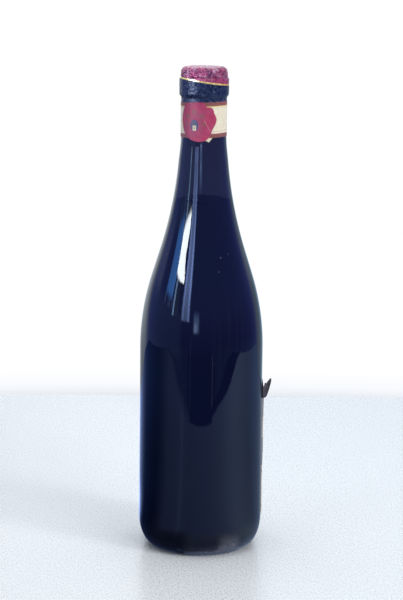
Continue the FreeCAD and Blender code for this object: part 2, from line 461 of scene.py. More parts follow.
def notch_angles():
    base = [2 * pi * k / 288 for k in range(288)]
    a0 = NOTCH_A % (2 * pi)
    lo, hi = a0 - radians(9.0), a0 + radians(9.0)
    keep = [a for a in base if not (lo < a < hi)]
    fine = [lo + (hi - lo) * k / 72 for k in range(73)]
    return sorted(set(keep + fine))


def grow(z):
    """How far the blown outside stands proud of its nominal size."""
    return np.interp(z, [0.0, 3.0, 10.0, 22.0, 45.0, 100.0, 248.0, 258.5], [0.20, 0.62, 0.80, 0.72, 0.58, 0.44, 0.46, 0.0])


def glass_move(v):
    """Hand-blown unevenness of a few hundredths of a millimetre, and the notch in the heel."""
    r = np.hypot(v[:, 0], v[:, 1])
    a = np.arctan2(v[:, 0], -v[:, 1])
    z = v[:, 2]
    wob = np.zeros(len(v))
    rng = np.random.default_rng(7)
    for _ in range(14):
        k = rng.integers(1, 7)
        kz = rng.uniform(-0.09, 0.09)
        wob += rng.uniform(0.3, 1.0) * np.cos(k * a + kz * z + rng.uniform(0, 2 * pi)) / (0.6 + 0.5 * k + 22 * abs(kz))
    wob *= 0.030
    fade = smooth((z - 4.0) / 14.0) * smooth((283.0 - z) / 12.0)
    dr = wob * fade
    # notch: a half-round hollow open at the bottom edge
    u = (a - NOTCH_A) * 34.0 / 3.05
    w = (z - 0.8) / 4.3
    q = np.sqrt(u * u + w * w)
    dent = 2.2 * (1 - smooth((q - 0.62) / 0.42))
    dent = np.where((r > BODY_R - HEEL_W - 0.2) & (z < 8), dent, 0)
    dent = np.minimum(dent, np.maximum(0, r - 29.3))
    nominal = np.array([outer_radius(q) for q in z])
    dr = dr - dent + np.where((r > nominal - 0.9) & (r > 13.5), grow(z), 0.0)
    k = np.where(r > 1e-6, (r + dr) / np.maximum(r, 1e-6), 1.0)
    out = v.copy()
    out[:, 0] *= k
    out[:, 1] *= k
    return out


outer = outer_section()
inner = inner_section()
turns = notch_angles()
glass = lathe("bottle_glass", join(outer, inner[::-1]), turns, glass_move)
sharp_by_angle(glass, 40)
inside_from = (len(outer) - 1) * len(turns)

# wine: reaches a little into the wall all round, up to the level, with a small
# raised rim where it meets the glass
wine_side = [p for p in inner_section(0.30) if p[1] < FILL_Z - 2.0]
r_fill = float(np.interp(FILL_Z, [p[1] for p in inner_section(0.30)[30:]], [p[0] for p in inner_section(0.30)[30:]]))
top = [
    (r_fill - 0.02, FILL_Z + 0.1),
    (r_fill - 0.5, FILL_Z - 0.75),
    (r_fill - 1.3, FILL_Z - 1.25),
    (r_fill - 2.6, FILL_Z - 1.5),
    (r_fill * 0.5, FILL_Z - 1.55),
    (0.0, FILL_Z - 1.55),
]
wine = lathe("wine_body", join(wine_side, top), [2 * pi * k / 128 for k in range(128)])

# ---------------------------------------------------------------------------
# foil capsule
# ---------------------------------------------------------------------------
cap_r = [
    (NECK_R + 0.02, FOIL_LOW),
    (NECK_R + 0.16, FOIL_LOW),
    (NECK_R + 0.17, FOIL_LOW + 0.4),
    (NECK_R + 0.18, 286.4),
    (NECK_R + 0.28, 287.0),
    (RING_R - 0.35, 288.0),
    (RING_R + 0.02, 288.7),
    (RING_R + 0.14, 289.6),
    (RING_R + 0.16, 291.5),
    (RING_R + 0.16, 296.9),
    (RING_R + 0.10, 298.0),
    (RING_R - 0.12, 298.9),
    (RING_R - 0.55, 299.35),
    (LIP_R + 0.34, 299.7),
    (LIP_R + 0.30, 300.3),
    (LIP_R + 0.22, 301.6),
    (LIP_R + 0.14, 302.7),
]


def foil_section():
    pts = [cap_r[0]]
    dense = []
    for a, b in zip(cap_r[1:], cap_r[2:]):
        n = max(1, int(round(sqrt((a[0] - b[0]) ** 2 + (a[1] - b[1]) ** 2) / 0.16)))
        dense += straight(a, b, n)
    cx, cz, rr = LIP_R - LIP_ROUND, LIP_TOP - LIP_ROUND, LIP_ROUND + 0.14
    n = 22
    for k in range(n + 1):
        t = (pi / 2) * k / n
        dense.append((cx + rr * cos(t), cz + rr * sin(t)))
    dense += straight((cx, cz + rr), (0.0, cz + rr - 0.10), 46)
    return join(pts, dense)


def foil_inner():
    """The foil's inside, so that the cap is a closed skin."""
    pts = [(0.0, LIP_TOP + 0.02)]
    pts += straight((2.0, LIP_TOP + 0.02), (LIP_R - LIP_ROUND, LIP_TOP + 0.02), 3)
    cx, cz, rr = LIP_R - LIP_ROUND, LIP_TOP - LIP_ROUND, LIP_ROUND + 0.02
    for k in range(1, 9):
        t = (pi / 2) * (1 - k / 8)
        pts.append((cx + rr * cos(t), cz + rr * sin(t)))
    pts += [(LIP_R + 0.02, RING_HIGH + 0.6), (RING_R + 0.02, RING_HIGH - 0.5), (RING_R + 0.02, RING_LOW + RING_CHAMFER), (NECK_R + 0.02, RING_LOW)]
    return pts


def crumple(p, seed, scale):
    """Crushed-foil relief, -1 to 1: flat facets between sharp ridges."""
    q = Vector((p[0] * scale + seed, p[1] * scale - seed, p[2] * scale))
    w = Vector((noise.noise(q * 0.7), noise.noise(q * 0.7 + Vector((9, 3, 1))), noise.noise(q * 0.7 + Vector((2, 8, 5)))))
    d, _ = noise.voronoi(q + w * 0.6)
    return min(1.0, (d[1] - d[0]) * 1.6) * 2 - 1


def foil_move(v):
    out = v.copy()
    r = np.hypot(v[:, 0], v[:, 1])
    for i in range(len(v)):
        x, y, z = v[i]
        rr = r[i]
        if rr < 1e-6 and z < 300:
            continue
        base_in = False
        # inner skin stays as it is
        if z < LIP_TOP + 0.03 and rr < outer_limit(z) + 0.05:
            base_in = True
        cx, cz = LIP_R - LIP_ROUND, LIP_TOP - LIP_ROUND
        if rr <= cx + 0.1 and abs(z - LIP_TOP) < 0.03:
            base_in = True
        if rr > cx and z > cz and sqrt((rr - cx) ** 2 + (z - cz) ** 2) < LIP_ROUND + 0.05:
            base_in = True
        if base_in:
            continue
        a = atan2(x, -y)
        s = a * 15.0
        p = (s, z, 0.0)
        # ring: fairly smooth with a few pressed dents; lip: strongly crushed
        lip = float(smooth((z - 299.0) / 1.2))
        topw = float(smooth((LIP_TOP + 0.1 - z) / 1.0)) if rr < LIP_R - LIP_ROUND + 0.6 else 1.0
        ring = 1.0 - lip
        pc = (x, y, z * 1.1)
        h = crumple(pc, 3.1, 0.27) * 0.65 + crumple(pc, 11.7, 0.60) * 0.35
        h2 = crumple((x, y, z * 0.8), 23.0, 0.40)
        low = fbm((x * 0.10, y * 0.10, z * 0.12), 3, 4.0)
        amp = 0.34 * lip + 0.10 * ring
        if z < 287.2:
            amp = 0.05
        dr = amp * (0.65 * h + 0.35 * h2) + (0.16 * lip + 0.05 * ring) * low
        # upright tucks where the foil is gathered in over the lip
        tuck = noise.noise(Vector((a * 9.0, 0.3, z * 0.10)))
        dr += 0.17 * lip * tuck
        # jagged fold at the foot of the lip
        fold = 299.45 + 0.55 * noise.noise(Vector((a * 5.0, 7.7, 0.0))) + 0.25 * noise.noise(Vector((a * 15.0, 1.7, 4.0)))
        g = exp(-(((z - fold) / 0.42) ** 2))
        dr -= 0.22 * g if rr > LIP_R - 1.0 else 0.0
        dr += 0.10 * exp(-(((z - fold - 1.0) / 0.5) ** 2)) if rr > LIP_R - 1.0 else 0.0
        if rr > LIP_R - LIP_ROUND - 0.3 or z < 300:
            k = (rr + dr) / rr
            t = float(smooth((rr - (LIP_R - LIP_ROUND)) / 1.8)) if z > 302.5 else 1.0
            k = 1.0 + (k - 1.0) * t
            out[i, 0], out[i, 1] = x * k, y * k
            if z > 302.5:
                out[i, 2] = z + dr * (1 - t) * 0.7
        else:
            dz = 0.16 * (0.6 * h + 0.4 * low)
            out[i, 2] = z + dz
        # never inside the glass
        rn = sqrt(out[i, 0] ** 2 + out[i, 1] ** 2)
        lim = outer_limit(out[i, 2]) + 0.05
        if z < LIP_TOP and rn < lim:
            f = lim / max(rn, 1e-6)
            out[i, 0] *= f
            out[i, 1] *= f
        if z >= LIP_TOP - 0.2 and rn < LIP_R - LIP_ROUND + 0.4:
            out[i, 2] = max(out[i, 2], LIP_TOP + 0.06)
        cx, cz, keep = LIP_R - LIP_ROUND, LIP_TOP - LIP_ROUND, LIP_ROUND + 0.06
        rn = sqrt(out[i, 0] ** 2 + out[i, 1] ** 2)
        if rn > cx and out[i, 2] > cz:
            d = sqrt((rn - cx) ** 2 + (out[i, 2] - cz) ** 2)
            if d < keep:
                r2 = cx + (rn - cx) * keep / d
                out[i, 2] = cz + (out[i, 2] - cz) * keep / d
                out[i, 0] *= r2 / rn
                out[i, 1] *= r2 / rn
    return out


def outer_limit(z):
    """Outside radius of the glass in the finish."""
    if z >= LIP_TOP:
        return 0.0
    if z > LIP_TOP - LIP_ROUND:
        c = LIP_TOP - LIP_ROUND
        return LIP_R - LIP_ROUND + sqrt(max(0.0, LIP_ROUND**2 - (z - c) ** 2))
    xs = [280.0, RING_LOW, RING_LOW + RING_CHAMFER, RING_HIGH - 0.5, RING_HIGH + 0.6, LIP_TOP - LIP_ROUND]
    ys = [NECK_R, NECK_R, RING_R, RING_R, LIP_R, LIP_R]
    return float(np.interp(z, xs, ys))


sec = foil_section()
inner_sec = foil_inner()
capsule = lathe("capsule_foil", join(inner_sec, sec), [2 * pi * k / 420 for k in range(420)], foil_move)

# ---------------------------------------------------------------------------
# paper round the neck
# ---------------------------------------------------------------------------
tilt = tan(radians(BAND_TILT))


def wrap(name, us, vs, radius, thick, place, smooth_deg=None):
    """A sheet of paper: a grid us x vs mapped by place(u, v) -> (angle, z, lift), thick millimetres deep, closed all round."""
    nu, nv = len(us), len(vs)
    verts = []
    for side in (0, 1):
        for v in vs:
            for u in us:
                a, z, lift = place(u, v)
                r = radius + lift + (thick if side else 0.0)
                verts.append((r * sin(a), -r * cos(a), z))
    faces = []
    off = nu * nv

    def idx(side, i, j):
        return side * off + j * nu + i

    for j in range(nv - 1):
        for i in range(nu - 1):
            faces.append((idx(1, i, j), idx(1, i + 1, j), idx(1, i + 1, j + 1), idx(1, i, j + 1)))
            faces.append((idx(0, i, j), idx(0, i, j + 1), idx(0, i + 1, j + 1), idx(0, i + 1, j)))
    rim = [(i, 0) for i in range(nu)] + [(nu - 1, j) for j in range(1, nv)] + [(i, nv - 1) for i in range(nu - 2, -1, -1)] + [(0, j) for j in range(nv - 2, 0, -1)]
    for k in range(len(rim)):
        a, b = rim[k], rim[(k + 1) % len(rim)]
        faces.append((idx(0, *a), idx(0, *b), idx(1, *b), idx(1, *a)))
    ob = new_mesh(name, np.array(verts) * MM, faces)
    fix_normals(ob)
    sharp_by_angle(ob, 50)
    return ob


# The band overlaps itself under the seal: its upper end is cut on the skew, and the
# lower corner of that end hangs below the edge.
OVER = radians(4.5)  # angle of the loose end, under the seal


def band_place(u, v):
    """u runs once round from the hidden end to the loose end; v from 0 at the bottom to 1 at the top."""
    total = 2 * pi + radians(20.0)
    a = OVER - total * (1 - u)
    x = sin(a)
    z = BAND_MID + tilt * x * 14.3 + (v - 0.5) * BAND_H
    # the last part of the strip stands a little off the glass
    near = smooth((a - (OVER - radians(26.0))) / radians(26.0))
    lift = 0.0
    if u > 0.9:
        lift = 0.20 * float(smooth((a - (OVER - radians(30.0))) / radians(10.0)))
    wav = noise.noise(Vector((a * 3.0, z * 0.16, 2.0)))
    lift += 0.018 * wav
    return a, z, lift


us = sorted(set([k / 260 for k in range(261)]))
vs = [k / 30 for k in range(31)]


band = wrap("neck_band_paper", us, vs, BAND_IN, 0.16, band_place)

# the lower corner of the strip's skewed end, hanging below the edge
CORNER = [
    (-2.4, 266.0), (3.0, 266.0), (8.6, 266.2), (7.3, 264.6), (6.35, 263.5), (5.5, 262.6), (4.7, 261.65), (3.95, 260.75), (3.45, 260.2),
    (3.2, 260.05), (2.85, 260.12), (2.3, 260.45), (1.5, 260.9), (0.4, 261.5), (-0.8, 262.2), (-2.2, 263.2),
]


def build_corner():
    edge = []
    m = len(CORNER)
    for k in range(m):
        a, b = np.array(CORNER[k]), np.array(CORNER[(k + 1) % m])
        n = 6
        edge += [tuple(a + (b - a) * t / n) for t in range(n)]
    cx, cz = 3.0, 263.6
    rings = 14
    verts, faces = [], []
    n = len(edge)
    for side in (0, 1):
        for k in range(rings + 1):
            q = k / rings
            for e in edge if k else [(cx, cz)]:
                x, z = cx + (e[0] - cx) * q, cz + (e[1] - cz) * q
                a = asin(x / 14.3)
                r = NECK_R + 0.03 + 0.10 * side + 0.22 * float(smooth((262.8 - z) / 2.8))
                verts.append((r * sin(a), -r * cos(a), z))
    half = 1 + n * rings
    for side in (0, 1):
        o = side * half
        for i in range(n):
            j = (i + 1) % n
            faces.append((o, o + 1 + i, o + 1 + j))
            for k in range(rings - 1):
                a, b = o + 1 + k * n, o + 1 + (k + 1) * n
                faces.append((a + i, b + i, b + j, a + j))
    a, b = 1 + (rings - 1) * n, half + 1 + (rings - 1) * n
    for i in range(n):
        j = (i + 1) % n
        faces.append((a + i, a + j, b + j, b + i))
    ob = new_mesh("neck_band_corner", np.array(verts) * MM, faces)
    fix_normals(ob)
    sharp_by_angle(ob, 55)
    return ob


corner = build_corner()


# seal: outline (x, z) as seen from the front, closed smooth loop
SEAL = [
    (-13.08, 274.15), (-12.79, 270.5), (-12.05, 266.6), (-10.64, 263.7), (-8.5, 261.8), (-5.4, 260.6),
    (-1.5, 260.4), (1.8, 261.6), (3.8, 263.6), (4.6, 265.8), (5.4, 267.9), (7.0, 270.9), (7.75, 274.0),
    (7.1, 276.2), (6.3, 278.0), (6.05, 279.45), (5.2, 280.8), (3.8, 281.55), (2.1, 281.65), (0.9, 282.8),
    (-0.3, 284.4), (-3.0, 284.6), (-7.3, 284.35), (-10.0, 283.9), (-11.5, 282.3), (-12.45, 279.5),
]
SEAL_S0, SEAL_Z0 = -4.1, 272.6


def closed_spline(pts, n):
    """n points on a closed Catmull-Rom loop."""
    m = len(pts)
    out = []
    for k in range(n):
        t = k * m / n
        i = int(t)
        f = t - i
        p0, p1, p2, p3 = (np.array(pts[(i + d) % m], float) for d in (-1, 0, 1, 2))
        out.append(0.5 * (2 * p1 + (p2 - p0) * f + (2 * p0 - 5 * p1 + 4 * p2 - p3) * f * f + (3 * p1 - p0 - 3 * p2 + p3) * f**3))
    return out


def build_seal():
    n, rings = 240, 40
    edge = closed_spline([(14.55 * asin(max(-1, min(1, x / 14.55))), z) for x, z in SEAL], n)
    verts = []
    thick = 0.16

    def at(s, z, side, q):
        a = s / 14.55
        # soft dome of the paper, small dents, the sharp crease and the step of the band's edge below
        lift = 0.03 * fbm((s * 0.22, z * 0.22, 1.0), 3, 5.0) + 0.02
        # crease from (0, 274.1) to (4.05, 266.7)
        dx, dz = 4.05, -7.4
        ln = sqrt(dx * dx + dz * dz)
        t = ((s - 0.0) * dx + (z - 274.1) * dz) / ln
        d = ((s - 0.0) * dz - (z - 274.1) * dx) / ln
        w = float(smooth(t / 2.0) * smooth((ln + 0.8 - t) / 1.0))
        lift += 0.13 * w * exp(-((d / 0.22) ** 2))
        # the paper settles on the glass below the band's lower edge
        edge_z = BAND_MID + tilt * 14.3 * sin(a) - BAND_H / 2
        lift -= 0.10 * float(smooth((edge_z - z) / 1.2))
        # loose right lobe rises a hair
        lift += 0.10 * float(smooth((s - 4.5) / 3.5)) * float(smooth((z - 268) / 4.0))
        lift += 0.06 * float(smooth((q - 0.9) / 0.1)) * (0.5 + 0.5 * noise.noise(Vector((s * 0.5, z * 0.5, 8.0))))
        r = SEAL_R + max(0.0, lift) + (thick if side else 0.0)
        return (r * sin(a), -r * cos(a), z)

    for side in (0, 1):
        verts.append(at(SEAL_S0, SEAL_Z0, side, 0.0))
        for k in range(1, rings + 1):
            q = k / rings
            for e in edge:
                verts.append(at(SEAL_S0 + (e[0] - SEAL_S0) * q, SEAL_Z0 + (e[1] - SEAL_Z0) * q, side, q))
    faces = []
    half = 1 + n * rings
    for side in (0, 1):
        o = side * half
        for i in range(n):
            j = (i + 1) % n
            faces.append((o, o + 1 + i, o + 1 + j))
            for k in range(rings - 1):
                a, b = o + 1 + k * n, o + 1 + (k + 1) * n
                faces.append((a + i, b + i, b + j, a + j))
    a, b = 1 + (rings - 1) * n, half + 1 + (rings - 1) * n
    for i in range(n):
        j = (i + 1) % n
        faces.append((a + i, a + j, b + j, b + i))
    ob = new_mesh("seal_paper", np.array(verts) * MM, faces)
    fix_normals(ob)
    sharp_by_angle(ob, 55)
    return ob


seal = build_seal()


# ---------------------------------------------------------------------------
# body label: sheet with a lifted near edge and a torn corner, and the flap
# ---------------------------------------------------------------------------
def tear_top(s):
    """Height of the label's top edge at s millimetres from the near edge."""
    if s >= TEAR_S:
        return LABEL_TOP
    t = s / TEAR_S
    jag = 0.55 * noise.noise(Vector((s * 1.9, 3.0, 0.0))) + 0.30 * noise.noise(Vector((s * 5.0, 9.0, 0.0)))
    return TEAR_Z + (LABEL_TOP - TEAR_Z) * t + jag * float(smooth(s / 1.2) * smooth((TEAR_S - s) / 1.2))


def label_lift(s, z):
    """How far the paper stands off the glass."""
    high = float(np.interp(z, [40.0, 50.0, 58.0, 66.0, 84.0, 92.0], [0.30, 0.36, 0.55, 0.66, 0.68, 0.80]))
    edge = high * float(smooth((8.4 - s) / 8.4)) ** 1.2
    edge *= 0.96 + 0.16 * noise.noise(Vector((z * 0.06, 0.0, 0.0)))
    ripple = 0.035 * noise.noise(Vector((s * 0.09, z * 0.05, 5.0)))
    return max(0.0, edge + max(0.0, ripple))


def build_label():
    length = radians(LABEL_END) * BODY_R
    ss = [0.0]
    while ss[-1] < length - 1e-6:
        step = 0.22 if ss[-1] < 9.5 else (0.6 if ss[-1] < 24 else 1.5)
        ss.append(min(length, ss[-1] + step))
    nv = 90
    verts = []
    for side in (0, 1):
        for j in range(nv + 1):
            for s in ss:
                z1 = tear_top(s)
                # rows keep their height low down and follow the torn edge at the top
                t = j / nv
                z = LABEL_LOW + (z1 - LABEL_LOW) * t
                low = 0.12 * noise.noise(Vector((s * 0.5, 4.0, 1.0))) * (1 - t) ** 6
                z += low
                thick = 0.18 + 0.15 * float(smooth((1.6 - s) / 1.6))
                r = BODY_R + float(grow(z)) + 0.05 + label_lift(s, z) + (thick if side else 0.0)
                a = s / BODY_R
                verts.append((r * cos(a), r * sin(a), z))
    n = len(ss)
    off = n * (nv + 1)
    faces = []
    for j in range(nv):
        for i in range(n - 1):
            q = (j * n + i, j * n + i + 1, (j + 1) * n + i + 1, (j + 1) * n + i)
            faces.append(tuple(k + off for k in q))
            faces.append(tuple(reversed(q)))
    cells = nv * (n - 1)
    rim = [(i, 0) for i in range(n)] + [(n - 1, j) for j in range(1, nv + 1)] + [(i, nv) for i in range(n - 2, -1, -1)] + [(0, j) for j in range(nv - 1, 0, -1)]
    for k in range(len(rim)):
        (i1, j1), (i2, j2) = rim[k], rim[(k + 1) % len(rim)]
        a, b = j1 * n + i1, j2 * n + i2
        faces.append((a, b, b + off, a + off))
    ob = new_mesh("body_label_paper", np.array(verts) * MM, faces)
    fix_normals(ob)
    sharp_by_angle(ob, 50)
    return ob, cells


label, label_cells = build_label()

FLAP = [
    (38.45, 95.35), (38.42, 99.0), (38.42, 103.0), (38.45, 106.5), (38.55, 108.2), (38.85, 108.45), (39.1, 108.0), (39.35, 106.6),
    (39.6, 104.9), (39.8, 103.3), (40.0, 102.6), (40.25, 103.3), (40.55, 104.4), (40.85, 105.1), (41.05, 105.25), (41.3, 104.75),
    (41.6, 104.6), (41.95, 105.0), (42.6, 105.9), (43.3, 106.8), (43.9, 107.6), (44.3, 107.95), (44.65, 107.8), (44.93, 107.1),
    (44.9, 106.0), (44.6, 104.6), (44.15, 102.8), (43.6, 100.6), (43.0, 98.8), (42.4, 97.0), (41.95, 95.95), (41.55, 95.4),
    (40.9, 95.2), (40.2, 95.15), (39.6, 95.3), (39.0, 95.2),
]


def build_flap():
    edge = []
    m = len(FLAP)
    for k in range(m):
        a, b = np.array(FLAP[k]), np.array(FLAP[(k + 1) % m])
        for t in (0.0, 0.25, 0.5, 0.75):
            edge.append(tuple(a + (b - a) * t))
    poly = [Vector(p) for p in edge]
    inside = []
    xs = np.arange(38.5, 45.0, 0.22)
    zs = np.arange(94.5, 107.8, 0.22)

    def within(x, z):
        c = False
        j = len(edge) - 1
        for i in range(len(edge)):
            (x1, z1), (x2, z2) = edge[i], edge[j]
            if (z1 > z) != (z2 > z) and x < (x2 - x1) * (z - z1) / (z2 - z1) + x1:
                c = not c
            j = i
        return c

    for x in xs:
        for z in zs:
            if within(x, z) and min((x - e[0]) ** 2 + (z - e[1]) ** 2 for e in edge) > 0.02:
                inside.append(Vector((x, z)))
    pts = poly + inside
    loops = [list(range(len(poly)))]
    v2, _, f2, _, _, _ = geometry.delaunay_2d_cdt(pts, [], loops, 1, 1e-5)

    def at(x, z, side):
        u = max(0.0, (x - 39.2) / 5.6)
        t = (z - 94.3) / 13.4
        y = -0.25 + 2.3 * u + 0.9 * sin(pi * min(1.0, max(0.0, u * 1.1))) - 0.4 * t * (1 - u)
        y += 0.5 * max(0.0, 39.3 - x)
        y += 0.22 * noise.noise(Vector((x * 0.7, z * 0.35, 3.0))) + (0.17 if side else 0.0)
        return (x, y, z)

    verts = [at(p[0], p[1], s) for s in (0, 1) for p in v2]
    n = len(v2)
    faces = [tuple(f) for f in f2] + [tuple(n + k for k in reversed(f)) for f in f2]
    # rim: edges used once
    count = {}
    for f in f2:
        for k in range(len(f)):
            e = (f[k], f[(k + 1) % len(f)])
            key = tuple(sorted(e))
            count.setdefault(key, []).append(e)
    for key, es in count.items():
        if len(es) == 1:
            a, b = es[0]
            faces.append((b, a, n + a, n + b))
    ob = new_mesh("body_label_flap", np.array(verts) * MM, faces)
    fix_normals(ob)
    sharp_by_angle(ob, 55)
    return ob


flap = build_flap()


# ---------------------------------------------------------------------------
# materials
# ---------------------------------------------------------------------------
def glass_material():
    """Outside of the wall: the dark tone of the glass, with thin dust low down and at the heel, and a painted light rim
    along the bottom edge.
    """
    m, t, b = material("dark_glass", Roughness=0.03, IOR=1.5, Transmission_Weight=1.0)
    x, y, z, v = t.object_mm()
    tone = t.line(z, 30.0, 280.0)
    col = t.mix(tone, (0.0075, 0.0100, 0.0240), (0.0105, 0.0118, 0.0240))
    # dust: a wiped patch at the heel, a thin film near the floor and a few grains; the same mask carries the painted
    # light rim of the bottom edge
    ang = t.math("ARCTAN2", x, y * -1.0)
    film = t.noise(v, 0.11, 5.0, 0.7)
    fine = t.noise(v, 0.9, 3.0, 0.7)
    patch = t.window(ang, 0.34, 0.72, 0.26) * t.window(z, 1.5, 14.0, 4.0, 9.0)
    patch2 = t.window(ang, -0.2, 1.15, 0.5) * t.window(z, 0.4, 6.5, 1.0, 7.0)
    # painted highlight: a pale rim along the bottom edge standing in for reflected light, left out of the notch so that
    # it stays dark
    hollow = t.step((ang - NOTCH_A).abs(), 0.075, 0.115)
    edge = t.window(ang, -0.50, 1.0, 0.22, 0.30) * t.step(z, 5.2, 1.2) * t.line(ang, -0.5, 0.8, 0.90, 1.0) * hollow
    low = t.step(z, 26.0, 2.0) * t.line(film, 0.45, 0.75)
    dust_and_rim_light = ((patch + patch2 * 0.55 + edge) * t.line(fine, 0.25, 0.7, 0.45, 1.0) + low * 0.18).min(1.0)
    cell = t.voronoi(v, 0.062)
    grain = t.step(E(t, cell.outputs["Distance"]), 0.012, 0.008)
    for a0, z0, r0, r in (
        (0.429, 189.8, 23.0, 0.50), (0.353, 181.5, 28.0, 0.38), (0.637, 191.5, 23.0, 0.30), (0.449, 154.0, 36.0, 0.28),
        (0.208, 125.4, 38.5, 0.24), (-0.293, 111.5, 38.5, 0.34), (-0.954, 190.3, 23.0, 0.45), (1.006, 99.1, 38.5, 0.42),
    ):
        da, dz = (ang - a0) * r0, z - z0
        spot = t.step(t.math("SQRT", da * da + dz * dz), r, r * 0.5)
        grain = grain.max(spot)
    dust_and_rim_light = dust_and_rim_light.max(grain * 0.9)
    # pale tint: dust, and the painted light rim of the bottom edge
    col = t.mix(dust_and_rim_light * 0.88, col, (0.46, 0.49, 0.575))
    t.put(col, b.inputs["Base Color"])
    t.put(1.0 - dust_and_rim_light * 0.26, b.inputs["Transmission Weight"])
    smear = t.noise(v, 0.016, 2.0, 0.5, 0.8)
    rough = t.line(film * 0.6 + smear * 0.4, 0.40, 0.64, 0.022, 0.05)
    t.put(rough + dust_and_rim_light * 0.25, b.inputs["Roughness"])
    rip = t.noise(v, 0.045, 1.0, 0.4)
    t.put(t.bump(rip, 0.05, 0.001), b.inputs["Normal"])
    return m


def glass_inside_material():
    m, t, b = material("dark_glass_inside", Roughness=0.02, IOR=1.5, Transmission_Weight=1.0)
    b.inputs["Base Color"].default_value = (0.96, 0.97, 1.0, 1.0)
    return m


def wine_material():
    m, t, b = material("red_wine", Roughness=0.12, IOR=1.12)
    x, y, z, v = t.object_mm()
    d = t.noise(v, 0.02, 2.0, 0.5)
    col = t.mix(t.line(d, 0.35, 0.65), (0.012, 0.0016, 0.0025), (0.020, 0.0026, 0.004))
    t.put(col, b.inputs["Base Color"])
    return m


def foil_material():
    m, t, b = material("capsule_foil", Metallic=0.30, Roughness=0.3, IOR=1.5)
    x, y, z, v = t.object_mm()
    ang = t.math("ARCTAN2", x, y * -1.0)
    line_z = z + x * 0.143 - 297.0
    wave = t.noise(v, 0.18, 2.0, 0.5)
    d = line_z + (wave - 0.5) * 0.25
    red_n = t.noise(v, 0.24, 4.0, 0.62, 0.4)
    red = t.mix(t.line(red_n, 0.34, 0.66), srgb(126, 42, 74), srgb(202, 78, 118))
    # creases: painted pale highlights on thin ridges, and painted dark shade in thin hollows
    lipw = t.step(z, 299.2, 300.4)
    c1 = 1.0 - (t.noise(v, 0.26, 3.0, 0.55, 0.7) * 2.0 - 1.0).abs() * 1.0
    c2 = 1.0 - (t.noise(t.combine(x + 31.0, y - 17.0, z + 5.0), 0.30, 3.0, 0.55, 0.9) * 2.0 - 1.0).abs() * 1.0
    patchy = t.line(t.noise(t.combine(x - 9.0, y, z), 0.16, 2.0, 0.5), 0.44, 0.60)
    red = t.mix(t.line(c2, 0.88, 0.985) * (0.35 + lipw * 0.40), red, srgb(74, 46, 82))
    red = t.mix(t.line(c1, 0.91, 0.985) * (0.30 + lipw * 0.45) * patchy, red, srgb(232, 196, 216))
    # paler and darker patches: painted highlights and painted shade on the crushed foil
    foil_glint_and_shade = t.noise(v, 0.62, 4.0, 0.7)
    red = t.mix(t.line(foil_glint_and_shade, 0.60, 0.70) * 0.40, red, srgb(214, 156, 184))
    red = t.mix(t.line(foil_glint_and_shade, 0.40, 0.33) * 0.45, red, srgb(92, 56, 90))
    black = t.mix(t.line(t.noise(v, 0.25, 3.0, 0.6), 0.35, 0.70), srgb(20, 30, 54), srgb(42, 54, 80))
    # light speckles on the black: painted glints
    black_speckle_glint = t.noise(v, 0.42, 4.0, 0.7)
    black = t.mix(t.line(black_speckle_glint, 0.62, 0.72) * 0.18, black, srgb(100, 112, 138))
    # pale ridges on the black: painted glints
    black = t.mix(t.line(c1, 0.955, 0.995) * 0.60 * patchy, black, srgb(150, 160, 182))
    gold = t.mix(t.line(t.noise(v, 0.9, 2.0, 0.5), 0.35, 0.65), srgb(232, 190, 84), srgb(255, 240, 164))
    # whitish patch on the front left of the gold line: painted highlight; orange towards the right and back: painted
    # shade
    gold = t.mix(t.window(ang, -0.62, -0.22, 0.2) * 0.6, gold, srgb(255, 250, 214))
    gold = t.mix(t.step(ang, 0.45, 0.95) * 0.5, gold, srgb(222, 150, 72))
    col = t.mix(t.step(d, -0.10, 0.10), black, red)
    # dark band at the foot of the lip: painted shade in the fold
    fold = t.window(z - (wave - 0.5) * 1.2, 299.05, 299.75, 0.35)
    col = t.mix(fold * 0.55, col, srgb(78, 44, 74))
    on_gold = t.window(d, -0.52, 0.46, 0.14)
    col = t.mix(on_gold, col, gold)
    t.put(col, b.inputs["Base Color"])
    rough = t.line(t.noise(v, 0.5, 3.0, 0.6), 0.3, 0.7, 0.20, 0.44)
    t.put(rough, b.inputs["Roughness"])
    vor = t.voronoi(v, 0.55, "DISTANCE_TO_EDGE")
    crinkle = E(t, vor.outputs["Distance"])
    fine = t.noise(v, 0.9, 3.0, 0.6)
    lip = t.step(z, 298.2, 300.2) * 0.84 + 0.16
    ht = (t.line(crinkle, 0.0, 0.34) * 0.55 + fine * 0.30 + t.line(c1, 0.80, 0.99) * 0.45 - t.line(c2, 0.84, 0.99) * 0.5) * lip
    t.put(t.bump(ht, 0.55, 0.0007), b.inputs["Normal"])
    return m


def paper_bump(t, b, v, strength=0.25):
    fib = t.noise(v, 2.4, 5.0, 0.65)
    blot = t.noise(v, 0.35, 3.0, 0.5)
    t.put(t.bump(fib * 0.7 + blot * 0.3, strength, 0.0002), b.inputs["Normal"])


